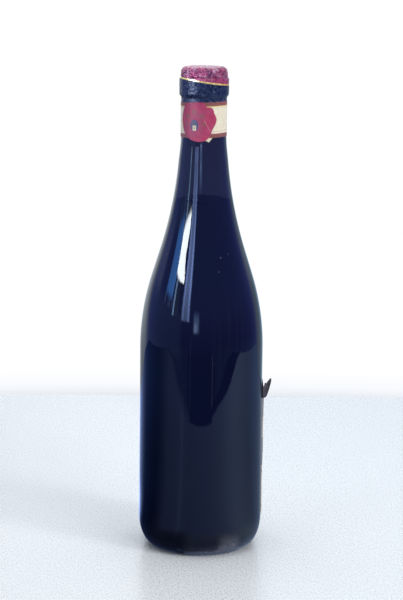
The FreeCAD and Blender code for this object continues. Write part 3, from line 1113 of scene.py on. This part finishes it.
def band_material():
    m, t, b = material("band_paper", Roughness=0.5, IOR=1.45)
    x, y, z, v = t.object_mm()
    zb = z - x * tilt - BAND_MID
    paper = t.mix(t.line(t.noise(v, 0.6, 4.0, 0.6), 0.35, 0.65), srgb(232, 221, 197), srgb(243, 236, 216))
    top_n = t.noise(v, 0.9, 3.0, 0.6)
    brown = t.mix(t.line(top_n, 0.3, 0.7), srgb(136, 84, 80), srgb(158, 100, 94))
    dark = srgb(112, 60, 58)
    yellow = srgb(226, 204, 120)
    col = paper
    # top stripe with a darker hairline through it and a yellow one under it
    col = t.mix(t.window(zb, 8.55, 11.5, 0.12), col, brown)
    col = t.mix(t.window(zb, 9.95, 10.15, 0.10) * 0.7, col, dark)
    col = t.mix(t.window(zb, 9.25, 9.40, 0.10) * 0.5, col, dark)
    col = t.mix(t.window(zb, 7.98, 8.52, 0.14), col, yellow)
    col = t.mix(t.window(zb, 7.25, 7.42, 0.12) * 0.35, col, brown)
    # bottom stripe, and a thin rose line over it
    col = t.mix(t.window(zb, -11.5, -8.35, 0.12), col, brown)
    col = t.mix(t.window(zb, -9.85, -9.65, 0.10) * 0.7, col, dark)
    col = t.mix(t.window(zb, -10.75, -10.45, 0.12) * 0.6, col, dark)
    col = t.mix(t.window(zb, -7.15, -6.85, 0.16) * 0.55, col, srgb(190, 130, 112))
    t.put(col, b.inputs["Base Color"])
    paper_bump(t, b, v)
    return m


def corner_material():
    m, t, b = material("band_corner_paper", Roughness=0.5, IOR=1.45)
    x, y, z, v = t.object_mm()
    paper = t.mix(t.line(t.noise(v, 0.6, 4.0, 0.6), 0.35, 0.65), srgb(230, 220, 196), srgb(243, 236, 216))
    # worn, yellowed rims of the hanging tip
    left = t.step(z + x * 0.50 - 261.75, 0.35, 0.0)
    right = t.step(z - x * 1.08 - 256.75, 0.45, 0.0)
    col = t.mix(left.max(right) * 0.75, paper, srgb(206, 182, 122))
    t.put(col, b.inputs["Base Color"])
    paper_bump(t, b, v)
    return m


def seal_material():
    m, t, b = material("seal_paper", Roughness=0.42, IOR=1.45)
    x, y, z, v = t.object_mm()
    ang = t.math("ARCTAN2", x, y * -1.0)
    s = ang * 14.55
    u = s + 6.0  # emblem sits left of the middle
    w = z - 271.0
    base = t.mix(t.line(t.noise(v, 0.30, 4.0, 0.6), 0.3, 0.7), srgb(168, 54, 90), srgb(196, 70, 106))
    sheen = t.noise(v, 0.12, 2.0, 0.5)
    base = t.mix(t.line(sheen, 0.42, 0.66) * 0.5, base, srgb(170, 88, 122))
    olive = srgb(128, 100, 84)
    blue = srgb(62, 82, 124)
    cream = srgb(228, 216, 186)
    rr = t.math("SQRT", u * u + w * w)
    th = t.math("ARCTAN2", u, w)  # 0 straight up
    col = base
    # a fan of small leaves, tall in the middle
    reach = 9.0 - th.abs() * 1.1
    q = rr / reach
    leaf = t.math("COSINE", th * 8.0)
    fan = t.window(q, 0.70, 1.0, 0.08) * t.step(leaf, -0.2, 0.3) * t.step(th.abs(), 2.35, 2.25)
    col = t.mix(fan * 0.62, col, olive)
    fan2 = t.window(q, 0.50, 0.62, 0.05) * t.step(leaf, 0.2, -0.3) * t.step(th.abs(), 2.1, 2.0)
    col = t.mix(fan2 * 0.5, col, olive)
    # blue oval with a grey-brown heart
    uu, ww = u / 2.7, (w + 0.6) / 3.5
    oval = t.math("SQRT", uu * uu + ww * ww)
    col = t.mix(t.step(oval, 1.04, 0.96), col, blue)
    col = t.mix(t.window(oval, 0.42, 0.68, 0.1) * 0.75, col, olive)
    u3, w3 = u / 1.25, (w + 2.3) / 1.9
    bud = t.math("SQRT", u3 * u3 + w3 * w3) * (1.0 + 0.12 * t.math("COSINE", t.math("ARCTAN2", u, w + 2.3) * 4.0))
    col = t.mix(t.step(bud, 1.06, 0.92), col, cream)
    col = t.mix(t.step(bud, 0.34, 0.24) * 0.8, col, olive)
    # pale line along the crease: painted highlight on its ridge
    dx, dz = 4.05, -7.4
    ln = sqrt(dx * dx + dz * dz)
    tt = (s * dx + (z - 274.1) * dz) / ln
    dd = ((s * dz) - ((z - 274.1) * dx)) / ln
    crease = t.window(dd, -0.14, 0.14, 0.12) * t.window(tt, 0.3, ln, 0.8)
    col = t.mix(crease * 0.6, col, srgb(226, 170, 186))
    t.put(col, b.inputs["Base Color"])
    paper_bump(t, b, v, 0.2)
    return m


def label_material():
    m, t, b = material("label_paper", Roughness=0.62, IOR=1.45)
    x, y, z, v = t.object_mm()
    ang = t.math("ARCTAN2", y, x)
    s = ang * BODY_R
    paper = t.mix(t.line(t.noise(v, 0.10, 4.0, 0.6), 0.35, 0.65), srgb(226, 213, 182), srgb(240, 230, 204))
    dark = t.mix(t.line(t.noise(v, 0.5, 3.0, 0.6), 0.3, 0.7), srgb(52, 48, 54), srgb(74, 70, 78))
    ochre = srgb(196, 150, 84)
    brown = t.mix(t.line(t.noise(v, 0.6, 3.0, 0.6), 0.3, 0.7), srgb(140, 84, 70), srgb(164, 100, 84))
    half = radians(LABEL_END) * BODY_R / 2
    c = (s - half).abs()
    col = paper
    # dark head panel, ochre rule, framed plain field, dark foot band
    col = t.mix(t.step(z, 82.4, 82.9), col, dark)
    col = t.mix(t.window(z, 80.2, 82.4, 0.2), col, ochre)
    col = t.mix(t.window(z, 84.4, 84.9, 0.2) * 0.8, col, ochre)
    col = t.mix(t.window(z, 105.2, 105.7, 0.2) * 0.8, col, ochre)
    # a row of plain diamonds across the head panel
    ss = t.math("PINGPONG", s - half, 6.0)
    dia = (ss / 2.6) + ((z - 95.0).abs() / 3.6)
    head = t.step(half - 7.0 - c, -0.2, 0.2)
    col = t.mix(t.step(dia, 1.05, 0.95) * head, col, ochre)
    col = t.mix(t.step(dia, 0.62, 0.52) * head, col, srgb(222, 208, 172))
    # middle: thin brown frame with a ring in it
    w1 = half - 8.0 - c
    inside = t.step(w1, -0.1, 0.1) * t.window(z, 51.0 + 3.5, 80.2 - 3.0, 0.2)
    inner = t.step(w1 - 0.9, -0.1, 0.1) * t.window(z, 51.0 + 4.4, 80.2 - 3.9, 0.2)
    col = t.mix((inside - inner).max(0.0), col, brown)
    cc = t.math("SQRT", (s - half) * (s - half) + (z - 66.0) * (z - 66.0))
    col = t.mix(t.window(cc, 8.6, 9.4, 0.2), col, brown)
    col = t.mix(t.step(cc, 7.6, 7.4), col, srgb(170, 52, 84))
    col = t.mix(t.step(cc, 3.4, 3.2), col, srgb(222, 196, 130))
    # dark edge strip at the near side, plain foot with two rules
    near = t.step(s, 3.1, 2.9) * t.window(z, 51.0, 69.0, 0.3)
    col = t.mix(near, col, dark)
    col = t.mix(t.window(z, 46.6, 48.0, 0.2), col, brown)
    col = t.mix(t.window(z, 24.0, 25.0, 0.2), col, brown)
    col = t.mix(t.window(z, 22.4, 22.8, 0.15), col, brown)
    bar = t.step(half - 24.0 - c, -0.2, 0.2)
    col = t.mix(bar * t.window(z, 39.5, 42.0, 0.2) * 0.8, col, brown)
    bar2 = t.step(half - 34.0 - c, -0.2, 0.2)
    col = t.mix(bar2 * t.window(z, 33.6, 35.2, 0.2) * 0.8, col, brown)
    # scuffed, slightly stained edges
    wear = t.line(t.noise(v, 0.22, 5.0, 0.7), 0.60, 0.74)
    near_edge = (t.step(s, 3.5, 0.0)).max(t.step(z, 24.0, 19.0)).max(t.step(z, 104.0, 108.0))
    col = t.mix(wear * near_edge * 0.6, col, srgb(206, 190, 156))
    t.put(col, b.inputs["Base Color"])
    paper_bump(t, b, v)
    return m


def label_back_material():
    m, t, b = material("label_back_paper", Roughness=0.7, IOR=1.45)
    x, y, z, v = t.object_mm()
    col = t.mix(t.line(t.noise(v, 0.4, 4.0, 0.6), 0.3, 0.7), srgb(214, 210, 202), srgb(236, 233, 226))
    t.put(col, b.inputs["Base Color"])
    # painted glow: emission standing in for light that comes through the thin sheet where it stands off the glass
    s = t.math("ARCTAN2", y, x) * BODY_R
    b.inputs["Emission Color"].default_value = (0.88, 0.92, 1.0, 1.0)
    t.put(t.step(s, 14.0, 7.0) * t.step(z, 112.0, 90.0) * 0.25, b.inputs["Emission Strength"])
    paper_bump(t, b, v, 0.2)
    return m


def flap_material():
    m, t, b = material("label_flap_paper", Roughness=0.7, IOR=1.45)
    x, y, z, v = t.object_mm()
    streak = t.noise(t.combine(x * 0.9 + z * 0.2, y * 0.9, z * 0.22), 1.0, 3.0, 0.6)
    col = t.mix(t.line(streak, 0.34, 0.68), srgb(58, 56, 66), srgb(96, 92, 92))
    # darker by the glass: painted shade where the flap meets the glass; the rims are darker too
    col = t.mix(t.step(x, 40.1, 39.3), col, srgb(20, 22, 34))
    rim = t.step(x - z * 0.36 - 6.35, -0.25, 0.35)
    col = t.mix(rim * 0.8, col, srgb(36, 34, 46))
    t.put(col, b.inputs["Base Color"])
    paper_bump(t, b, v, 0.35)
    return m


mats = {
    "glass": glass_material(),
    "glass_in": glass_inside_material(),
    "label_back": label_back_material(),
    "wine": wine_material(),
    "foil": foil_material(),
    "band": band_material(),
    "corner": corner_material(),
    "seal": seal_material(),
    "label": label_material(),
    "flap": flap_material(),
}
for ob, key, node, slot in (
    (glass, "glass", "glass_bottle", "dark_glass"),
    (wine, "wine", "wine", "wine"),
    (capsule, "foil", "capsule", "capsule_foil"),
    (band, "band", "neck_band", "band_paper"),
    (corner, "corner", "neck_band", "band_paper"),
    (seal, "seal", "seal_label", "seal_paper"),
    (label, "label", "body_label", "label_paper"),
    (flap, "flap", "body_label", "label_paper"),
):
    use(ob, mats[key])
    if key == "glass":
        ob.data.materials.append(mats["glass_in"])
        index = np.zeros(len(ob.data.polygons), np.int32)
        index[inside_from:] = 1
        ob.data.polygons.foreach_set("material_index", index)
    if key == "label":
        ob.data.materials.append(mats["label_back"])
        index = np.zeros(len(ob.data.polygons), np.int32)
        index[1 : label_cells * 2 : 2] = 1
        ob.data.polygons.foreach_set("material_index", index)
    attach(ob, "root")
    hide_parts(node)

# ---------------------------------------------------------------------------
# stage: pale table, reflected table top, soft light
# ---------------------------------------------------------------------------
TABLE = (-0.95, 0.95, -0.372, 0.402)
GLOSS_TABLE = (-0.85, 0.72, -0.42, 0.402)


def table_mesh(name, z, box):
    x0, x1, y0, y1 = box
    nx, ny = 38, 16
    verts = [(x0 + (x1 - x0) * i / nx, y0 + (y1 - y0) * j / ny, z) for j in range(ny + 1) for i in range(nx + 1)]
    faces = [(j * (nx + 1) + i, j * (nx + 1) + i + 1, (j + 1) * (nx + 1) + i + 1, (j + 1) * (nx + 1) + i) for j in range(ny) for i in range(nx)]
    return new_mesh(name, verts, faces, smooth=False)


def floor_material():
    m, t, b = material("pale_table", Roughness=0.3, IOR=1.5)
    x, y, z, v = t.object_mm()
    cell = t.combine(x * 1.15, y * 0.50, 0.0)
    grain = t.noise(cell, 1.0, 2.0, 0.7)
    coarse = t.noise(cell, 0.45, 2.0, 0.5)
    cloud = t.noise(v, 0.010, 3.0, 0.5)
    mixed = grain * 0.75 + coarse * 0.25
    col = t.mix(t.line(mixed, 0.28, 0.72), (0.528, 0.562, 0.606), (0.925, 0.962, 0.992))
    col = t.mix(t.line(cloud, 0.3, 0.7) * 0.2, col, (0.68, 0.70, 0.725))
    # painted shade: the table is darker towards the front
    col = t.mix(t.line(y, 150.0, -330.0) * 0.10, col, (0.30, 0.32, 0.35))
    # painted shadow: darker towards the left, deepening the bottle's cast shadow
    col = t.mix(t.line(x, -50.0, -150.0) * 0.07, col, (0.30, 0.32, 0.35))
    t.put(col, b.inputs["Base Color"])
    t.put(t.line(grain, 0.36, 0.62, 0.10, 0.62), b.inputs["Roughness"])
    t.put(t.bump(mixed, 0.10, 0.0003), b.inputs["Normal"])
    return m


floor = table_mesh("table", 0.0, TABLE)
use(floor, floor_material())
floor.visible_glossy = False


def glow_material():
    """What the glass sees of the table top: light to the right and in front, dim to the left, and a dark room past its front edge."""
    m = bpy.data.materials.new("table_seen_in_gloss")
    m.use_nodes = True
    m.node_tree.nodes.clear()
    t = Tree(m.node_tree)
    x, y, z, v = t.object_mm()
    az = t.math("ARCTAN2", x, y * -1.0) / pi  # -1..1, 0 in front, + to the right
    k = t.line(az, -1.0, 1.0)
    g = [
        (-180, 0.50), (-168, 0.62), (-155, 0.60), (-145, 0.46), (-137, 0.32), (-129, 0.16), (-122, 0.05), (-114, 0.0), (-88, 0.0), (-78, 0.03), (-68, 0.11),
        (-60, 0.19), (-50, 0.21), (-41, 0.24), (-36, 0.28), (-33, 0.37), (-30, 0.27), (-20, 0.25), (-4, 0.28), (12, 0.31), (24, 0.36), (36, 0.42),
        (50, 0.56), (62, 0.62), (74, 0.56), (86, 0.42), (98, 0.31), (118, 0.25), (145, 0.27), (180, 0.50),
    ]
    ramp = t.ramp(k, [((a + 180) / 360, (q, q, q)) for a, q in g])
    dist = t.math("SQRT", x * x + y * y)
    # the ground close to the foot is in the bottle's own shade, more so on the left
    near = t.line(dist, 38.0, 72.0, 0.50, 1.0)
    left = t.window(az, -0.62, -0.10, 0.10) * t.step(dist, 105.0, 48.0)
    back = t.window(az, -0.95, -0.62, 0.08) * t.step(dist, 190.0, 90.0)
    strength = ramp * near * (1.0 - left * 0.80) * (1.0 + back * 1.6)
    foot = t.step(dist, 92.0, 50.0)
    blue = t.line(az, 0.05, 0.42, 2.15, 1.52) * t.line(az.abs(), 0.62, 0.78, 1.0, 0.92) * (1.0 - foot * 0.14)
    veil = t.line(az.abs(), 0.63, 0.78, 1.0, 0.26) * t.line(dist, 50.0, 200.0, 0.38, 1.0) * t.line(dist, 250.0, 520.0, 1.0, 1.9)
    grey = foot * 0.045 * t.line(az, -0.35, 0.10, 0.30, 1.0)
    col = t.combine(
        0.72 * strength + veil * 0.030 + grey,
        1.0 * strength + veil * 0.062 + grey * 1.1,
        strength * blue + veil * 0.245 + grey * 1.7,
    )
    edge = t.math("ABSOLUTE", x)
    inside = t.step(edge, 139.0, 136.0)
    slant = (x - 225.0).max(0.0) * 0.42
    curve = (x * x) * (12.0 / (138.0 * 138.0)) * inside + (1.0 - inside) * -7.0 - 380.0 + slant
    soft = t.step(x, -120.0, -160.0) * 38.0 + 2.0
    on = ((y - curve + soft) / (soft * 2.0)).max(0.0).min(1.0)
    far = t.mix(on, (0.072, 0.112, 0.54), col)
    em = t.node("ShaderNodeEmission")
    t.put(far, em.inputs[0])
    out = t.node("ShaderNodeOutputMaterial")
    t.link(em.outputs[0], out.inputs[0])
    return m


glow = table_mesh("table_in_gloss", -0.0004, GLOSS_TABLE)
use(glow, glow_material())
glow.visible_camera = glow.visible_diffuse = glow.visible_transmission = glow.visible_shadow = False
glow.visible_glossy = True


def build_world():
    w = bpy.data.worlds.new("studio")
    bpy.context.scene.world = w
    w.use_nodes = True
    w.node_tree.nodes.clear()
    t = Tree(w.node_tree)
    tc = t.node("ShaderNodeTexCoord")
    x, y, z = t.split(E(t, tc.outputs["Generated"]))
    deg = 180.0 / pi
    az = t.math("ARCTAN2", x, y * -1.0) * deg
    el = t.math("ARCSINE", z) * deg
    lp = t.node("ShaderNodeLightPath")
    is_cam = E(t, lp.outputs["Is Camera Ray"])
    is_gloss = E(t, lp.outputs["Is Glossy Ray"])
    is_trans = E(t, lp.outputs["Is Transmission Ray"])

    # what the camera sees: white, settling to the table's tone below the far edge
    cam = t.ramp(
        t.line(el, -14.0, -11.0),
        [(0.0, srgb(230, 234, 241)), (0.17, srgb(228, 232, 239)), (0.225, srgb(238, 242, 247)), (0.29, srgb(248, 250, 254)), (0.44, (1.0, 1.0, 1.0)), (1.0, (1.0, 1.0, 1.0))],
    )

    def glow_(mask, strength, colour):
        """mask x strength x colour as a colour"""
        nd = t.node("ShaderNodeVectorMath", operation="SCALE")
        nd.inputs[0].default_value = colour
        t.put(mask * strength, nd.inputs[3])
        return E(t, nd.outputs[0])

    def add(a, b):
        nd = t.node("ShaderNodeVectorMath", operation="ADD")
        t.put(a, nd.inputs[0])
        t.put(b, nd.inputs[1])
        return E(t, nd.outputs[0])

    base = t.ramp(
        t.line(el, -18.0, 26.0),
        [(0.0, (0.060, 0.108, 0.50)), (0.20, (0.090, 0.130, 0.62)), (0.41, (0.120, 0.165, 0.75)), (0.64, (0.148, 0.218, 0.90)), (1.0, (0.150, 0.245, 0.95))],
    )
    stripes = t.noise(t.combine(az * 0.16, el * 0.010, 0.0), 1.0, 3.0, 0.65)
    streak = t.window(az, 16.0, 118.0, 14.0) * t.window(el, -13.0, 12.0, 6.0, 12.0) * t.line(stripes, 0.46, 0.72)
    frontal = t.step(az.abs(), 150.0, 118.0) * t.step(el, 42.0, 29.0)
    base = t.mix(frontal, (0.60, 0.64, 0.70), base)
    low_back = t.step(az.abs(), 118.0, 150.0) * t.step(el, 8.0, -2.0)
    base = t.mix(low_back, base, (0.03, 0.05, 0.10))
    parts = [
        base,
        glow_(streak, 0.09, (0.8, 1.0, 1.5)),
        # thin bright edges of the dark shape in front
        glow_(t.window(az, -20.9, -19.9, 0.5) * t.window(el, -17.0, -2.0, 1.0, 6.0), 0.20, (0.7, 1.0, 1.7)),
        glow_(t.window(az, 20.0, 21.0, 0.5) * t.window(el, -17.0, -10.5, 1.0, 2.0), 0.42, (0.8, 1.0, 1.4)),
        glow_(t.window(az, -120.0, 120.0, 10.0) * t.window(az, -26.0, 26.0, 3.0).inv() * t.step(el, -5.0, -11.0), 0.05, (0.6, 1.0, 1.6)),
        # room light on the left
        glow_(t.window(az, -128.0, -40.0, 34.0, 10.0) * t.window(el, -12.0, 9.0, 8.0, 8.0), 0.11, (0.55, 1.0, 1.6)),
        # blue glow that grows towards the softbox
        glow_(t.window(az, -84.0, -65.0, 4.0, 1.5) * t.step(el, 10.5, 14.5) * t.line(az, -84.0, -66.0, 0.8, 1.1), 1.75, (0.26, 0.95, 2.75)),
        glow_(t.window(az, -84.0, -62.0, 3.0, 2.0) * t.window(el, 8.0, 12.5, 1.5, 2.0) * t.line(stripes, 0.42, 0.6), 0.7, (0.6, 1.0, 1.7)),
        glow_(t.window(az, -135.0, -104.0, 12.0, 8.0) * t.step(el, 4.0, 12.0), 0.30, (0.85, 1.0, 1.22)),
        # small bright pane in front
        glow_(t.window(az, -15.5, -5.5, 4.5) * t.window(el, 0.4, 9.0, 2.2, 6.0), 1.15, (0.62, 1.0, 1.9)),
        glow_(t.window(az, -14.5, -9.0, 3.0) * t.window(el, 0.6, 5.0, 1.6, 3.0), 1.30, (0.80, 1.0, 1.5)),
        # white wall behind
        glow_(t.step(az + el * 1.1, -122.0, -152.0) * t.step(el, -22.0, -2.0), 0.92, (0.90, 1.0, 1.10)),
        glow_(t.step(az, 110.0, 178.0), 0.55, (0.70, 1.0, 1.3)),
        glow_(t.step(az.abs(), 150.0, 168.0) * t.step(el, 2.0, 10.0), 0.42, (0.95, 1.0, 1.04)),
    ]
    env = parts[0]
    for p in parts[1:]:
        env = add(env, p)

    def background(colour, strength):
        nd = t.node("ShaderNodeBackground")
        if isinstance(colour, E):
            t.link(colour.s, nd.inputs[0])
        else:
            nd.inputs[0].default_value = (*colour, 1.0)
        nd.inputs[1].default_value = strength
        return nd.outputs[0]

    def mixs(f, a, b):
        nd = t.node("ShaderNodeMixShader")
        t.put(f, nd.inputs[0])
        t.link(a, nd.inputs[1])
        t.link(b, nd.inputs[2])
        return nd.outputs[0]

    ambient = background((0.965, 0.98, 1.0), 0.34)
    gloss = background(env, 1.0)
    seen = background(cam, 1.0)
    through = background((1.0, 1.0, 1.0), 1.0)
    s = mixs(is_gloss * is_trans.inv(), ambient, gloss)
    s = mixs(is_trans, s, through)
    s = mixs(is_cam, s, seen)
    out = t.node("ShaderNodeOutputWorld")
    t.link(s, out.inputs[0])


build_world()


def panel(name, dist, az0, az1, h0, h1, shade):
    """An upright curved light at dist metres, seen only in reflections."""
    n, m = 16, 40
    verts = [
        (dist * sin(radians(az0 + (az1 - az0) * i / n)), -dist * cos(radians(az0 + (az1 - az0) * i / n)), h0 + (h1 - h0) * j / m)
        for j in range(m + 1)
        for i in range(n + 1)
    ]
    faces = [(j * (n + 1) + i, j * (n + 1) + i + 1, (j + 1) * (n + 1) + i + 1, (j + 1) * (n + 1) + i) for j in range(m) for i in range(n)]
    ob = new_mesh(name, verts, faces, smooth=False)
    mat = bpy.data.materials.new(name)
    mat.use_nodes = True
    mat.node_tree.nodes.clear()
    t = Tree(mat.node_tree)
    x, y, z, v = t.object_mm()
    az = t.math("ARCTAN2", x, y * -1.0) * (180.0 / pi)
    colour, strength, clear = shade(t, az, z)
    em = t.node("ShaderNodeEmission")
    em.inputs[0].default_value = (*colour, 1.0)
    t.put(strength, em.inputs[1])
    tr = t.node("ShaderNodeBsdfTransparent")
    mx = t.node("ShaderNodeMixShader")
    t.put(clear, mx.inputs[0])
    t.link(tr.outputs[0], mx.inputs[1])
    t.link(em.outputs[0], mx.inputs[2])
    out = t.node("ShaderNodeOutputMaterial")
    t.link(mx.outputs[0], out.inputs[0])
    use(ob, mat)
    ob.visible_camera = ob.visible_diffuse = ob.visible_transmission = ob.visible_shadow = False
    ob.visible_glossy = True
    return ob


def shade_box(t, az, z):
    side = t.line(z, 294.0, 356.0, -62.5, -63.5)
    right = t.line(z, 304.0, 345.0, -40.5, -53.5)
    a = t.step(az - side, -0.8, 0.8) * t.step(right - az, -0.8, 0.8) * t.step(z, 287.0, 296.0)
    return (0.92, 1.0, 1.06), a * 24.0, a


def shade_foot(t, az, z):
    """Dim panes under the softbox."""
    a = t.window(az, -61.0, -57.2, 1.0) * t.step(z, 318.0, 345.0)
    b = t.window(az, -57.5, -48.0, 2.0) * t.step(z, 318.0, 345.0) * 0.16
    return (0.62, 1.0, 1.75), a * 3.4 + b * 3.4, (a + b * 3.0).min(1.0)


def shade_panel(t, az, z):
    a = t.window(az, -40.0, -23.5, 3.0, 2.5) * t.step(z, 395.0, 450.0)
    bright = t.window(az, -28.0, -24.5, 1.5) * 0.8 + t.window(az, -39.0, -35.5, 1.5) * 0.5
    return (0.68, 1.0, 2.20), t.line(z, 400.0, 1450.0, 1.6, 3.0) * (bright + 0.85), a


panel("softbox_in_gloss", 0.33, -70.0, -33.0, 0.28, 1.1, shade_box)
panel("softbox_foot_in_gloss", 1.8, -64.0, -45.0, 0.30, 1.25, shade_foot)
panel("panel_in_gloss", 2.95, -47.0, -20.0, 0.38, 3.2, shade_panel)


def area(name, loc, target, size, power, colour, gloss=False):
    ld = bpy.data.lights.new(name, "AREA")
    ld.shape = "RECTANGLE"
    ld.size, ld.size_y = size
    ld.energy = power
    ld.color = colour
    ob = bpy.data.objects.new(name, ld)
    ob.location = loc
    d = Vector(target) - Vector(loc)
    ob.rotation_euler = d.to_track_quat("-Z", "Y").to_euler()
    bpy.context.scene.collection.objects.link(ob)
    ob.visible_glossy = gloss
    ob.visible_transmission = False
    ob.visible_camera = False
    return ob


area("key_right", (1.15, -0.80, 0.95), (0.0, 0.0, 0.12), (0.30, 0.40), 9.9, (1.0, 0.98, 0.96))
area("key_front", (0.75, -1.15, 1.10), (0.0, 0.0, 0.12), (0.35, 0.5), 4.2, (1.0, 0.985, 0.97))
area("fill_left", (-1.10, -0.95, 0.80), (0.0, 0.0, 0.18), (0.9, 0.9), 2.4, (0.98, 0.99, 1.0))
area("top", (0.0, 0.05, 1.5), (0.0, 0.0, 0.0), (1.3, 1.1), 11.1, (0.985, 0.992, 1.0))

# ---------------------------------------------------------------------------
# camera
# ---------------------------------------------------------------------------
cam = bpy.data.cameras.new("camera")
cam.lens = 114.4
cam.sensor_width = 36.0
cam.sensor_fit = "AUTO"
cam.clip_start, cam.clip_end = 0.05, 50.0
cam_ob = bpy.data.objects.new("camera", cam)
rot = Matrix.Rotation(radians(90.0 - 10.58), 4, "X") @ Matrix.Rotation(radians(0.603), 4, "Z")
cam_ob.matrix_world = Matrix.Translation((-0.00027, -1.187, 0.3803)) @ rot
bpy.context.scene.collection.objects.link(cam_ob)
bpy.context.scene.camera = cam_ob

vs_ = bpy.context.scene.view_settings
vs_.view_transform = "Standard"
vs_.look = "None"
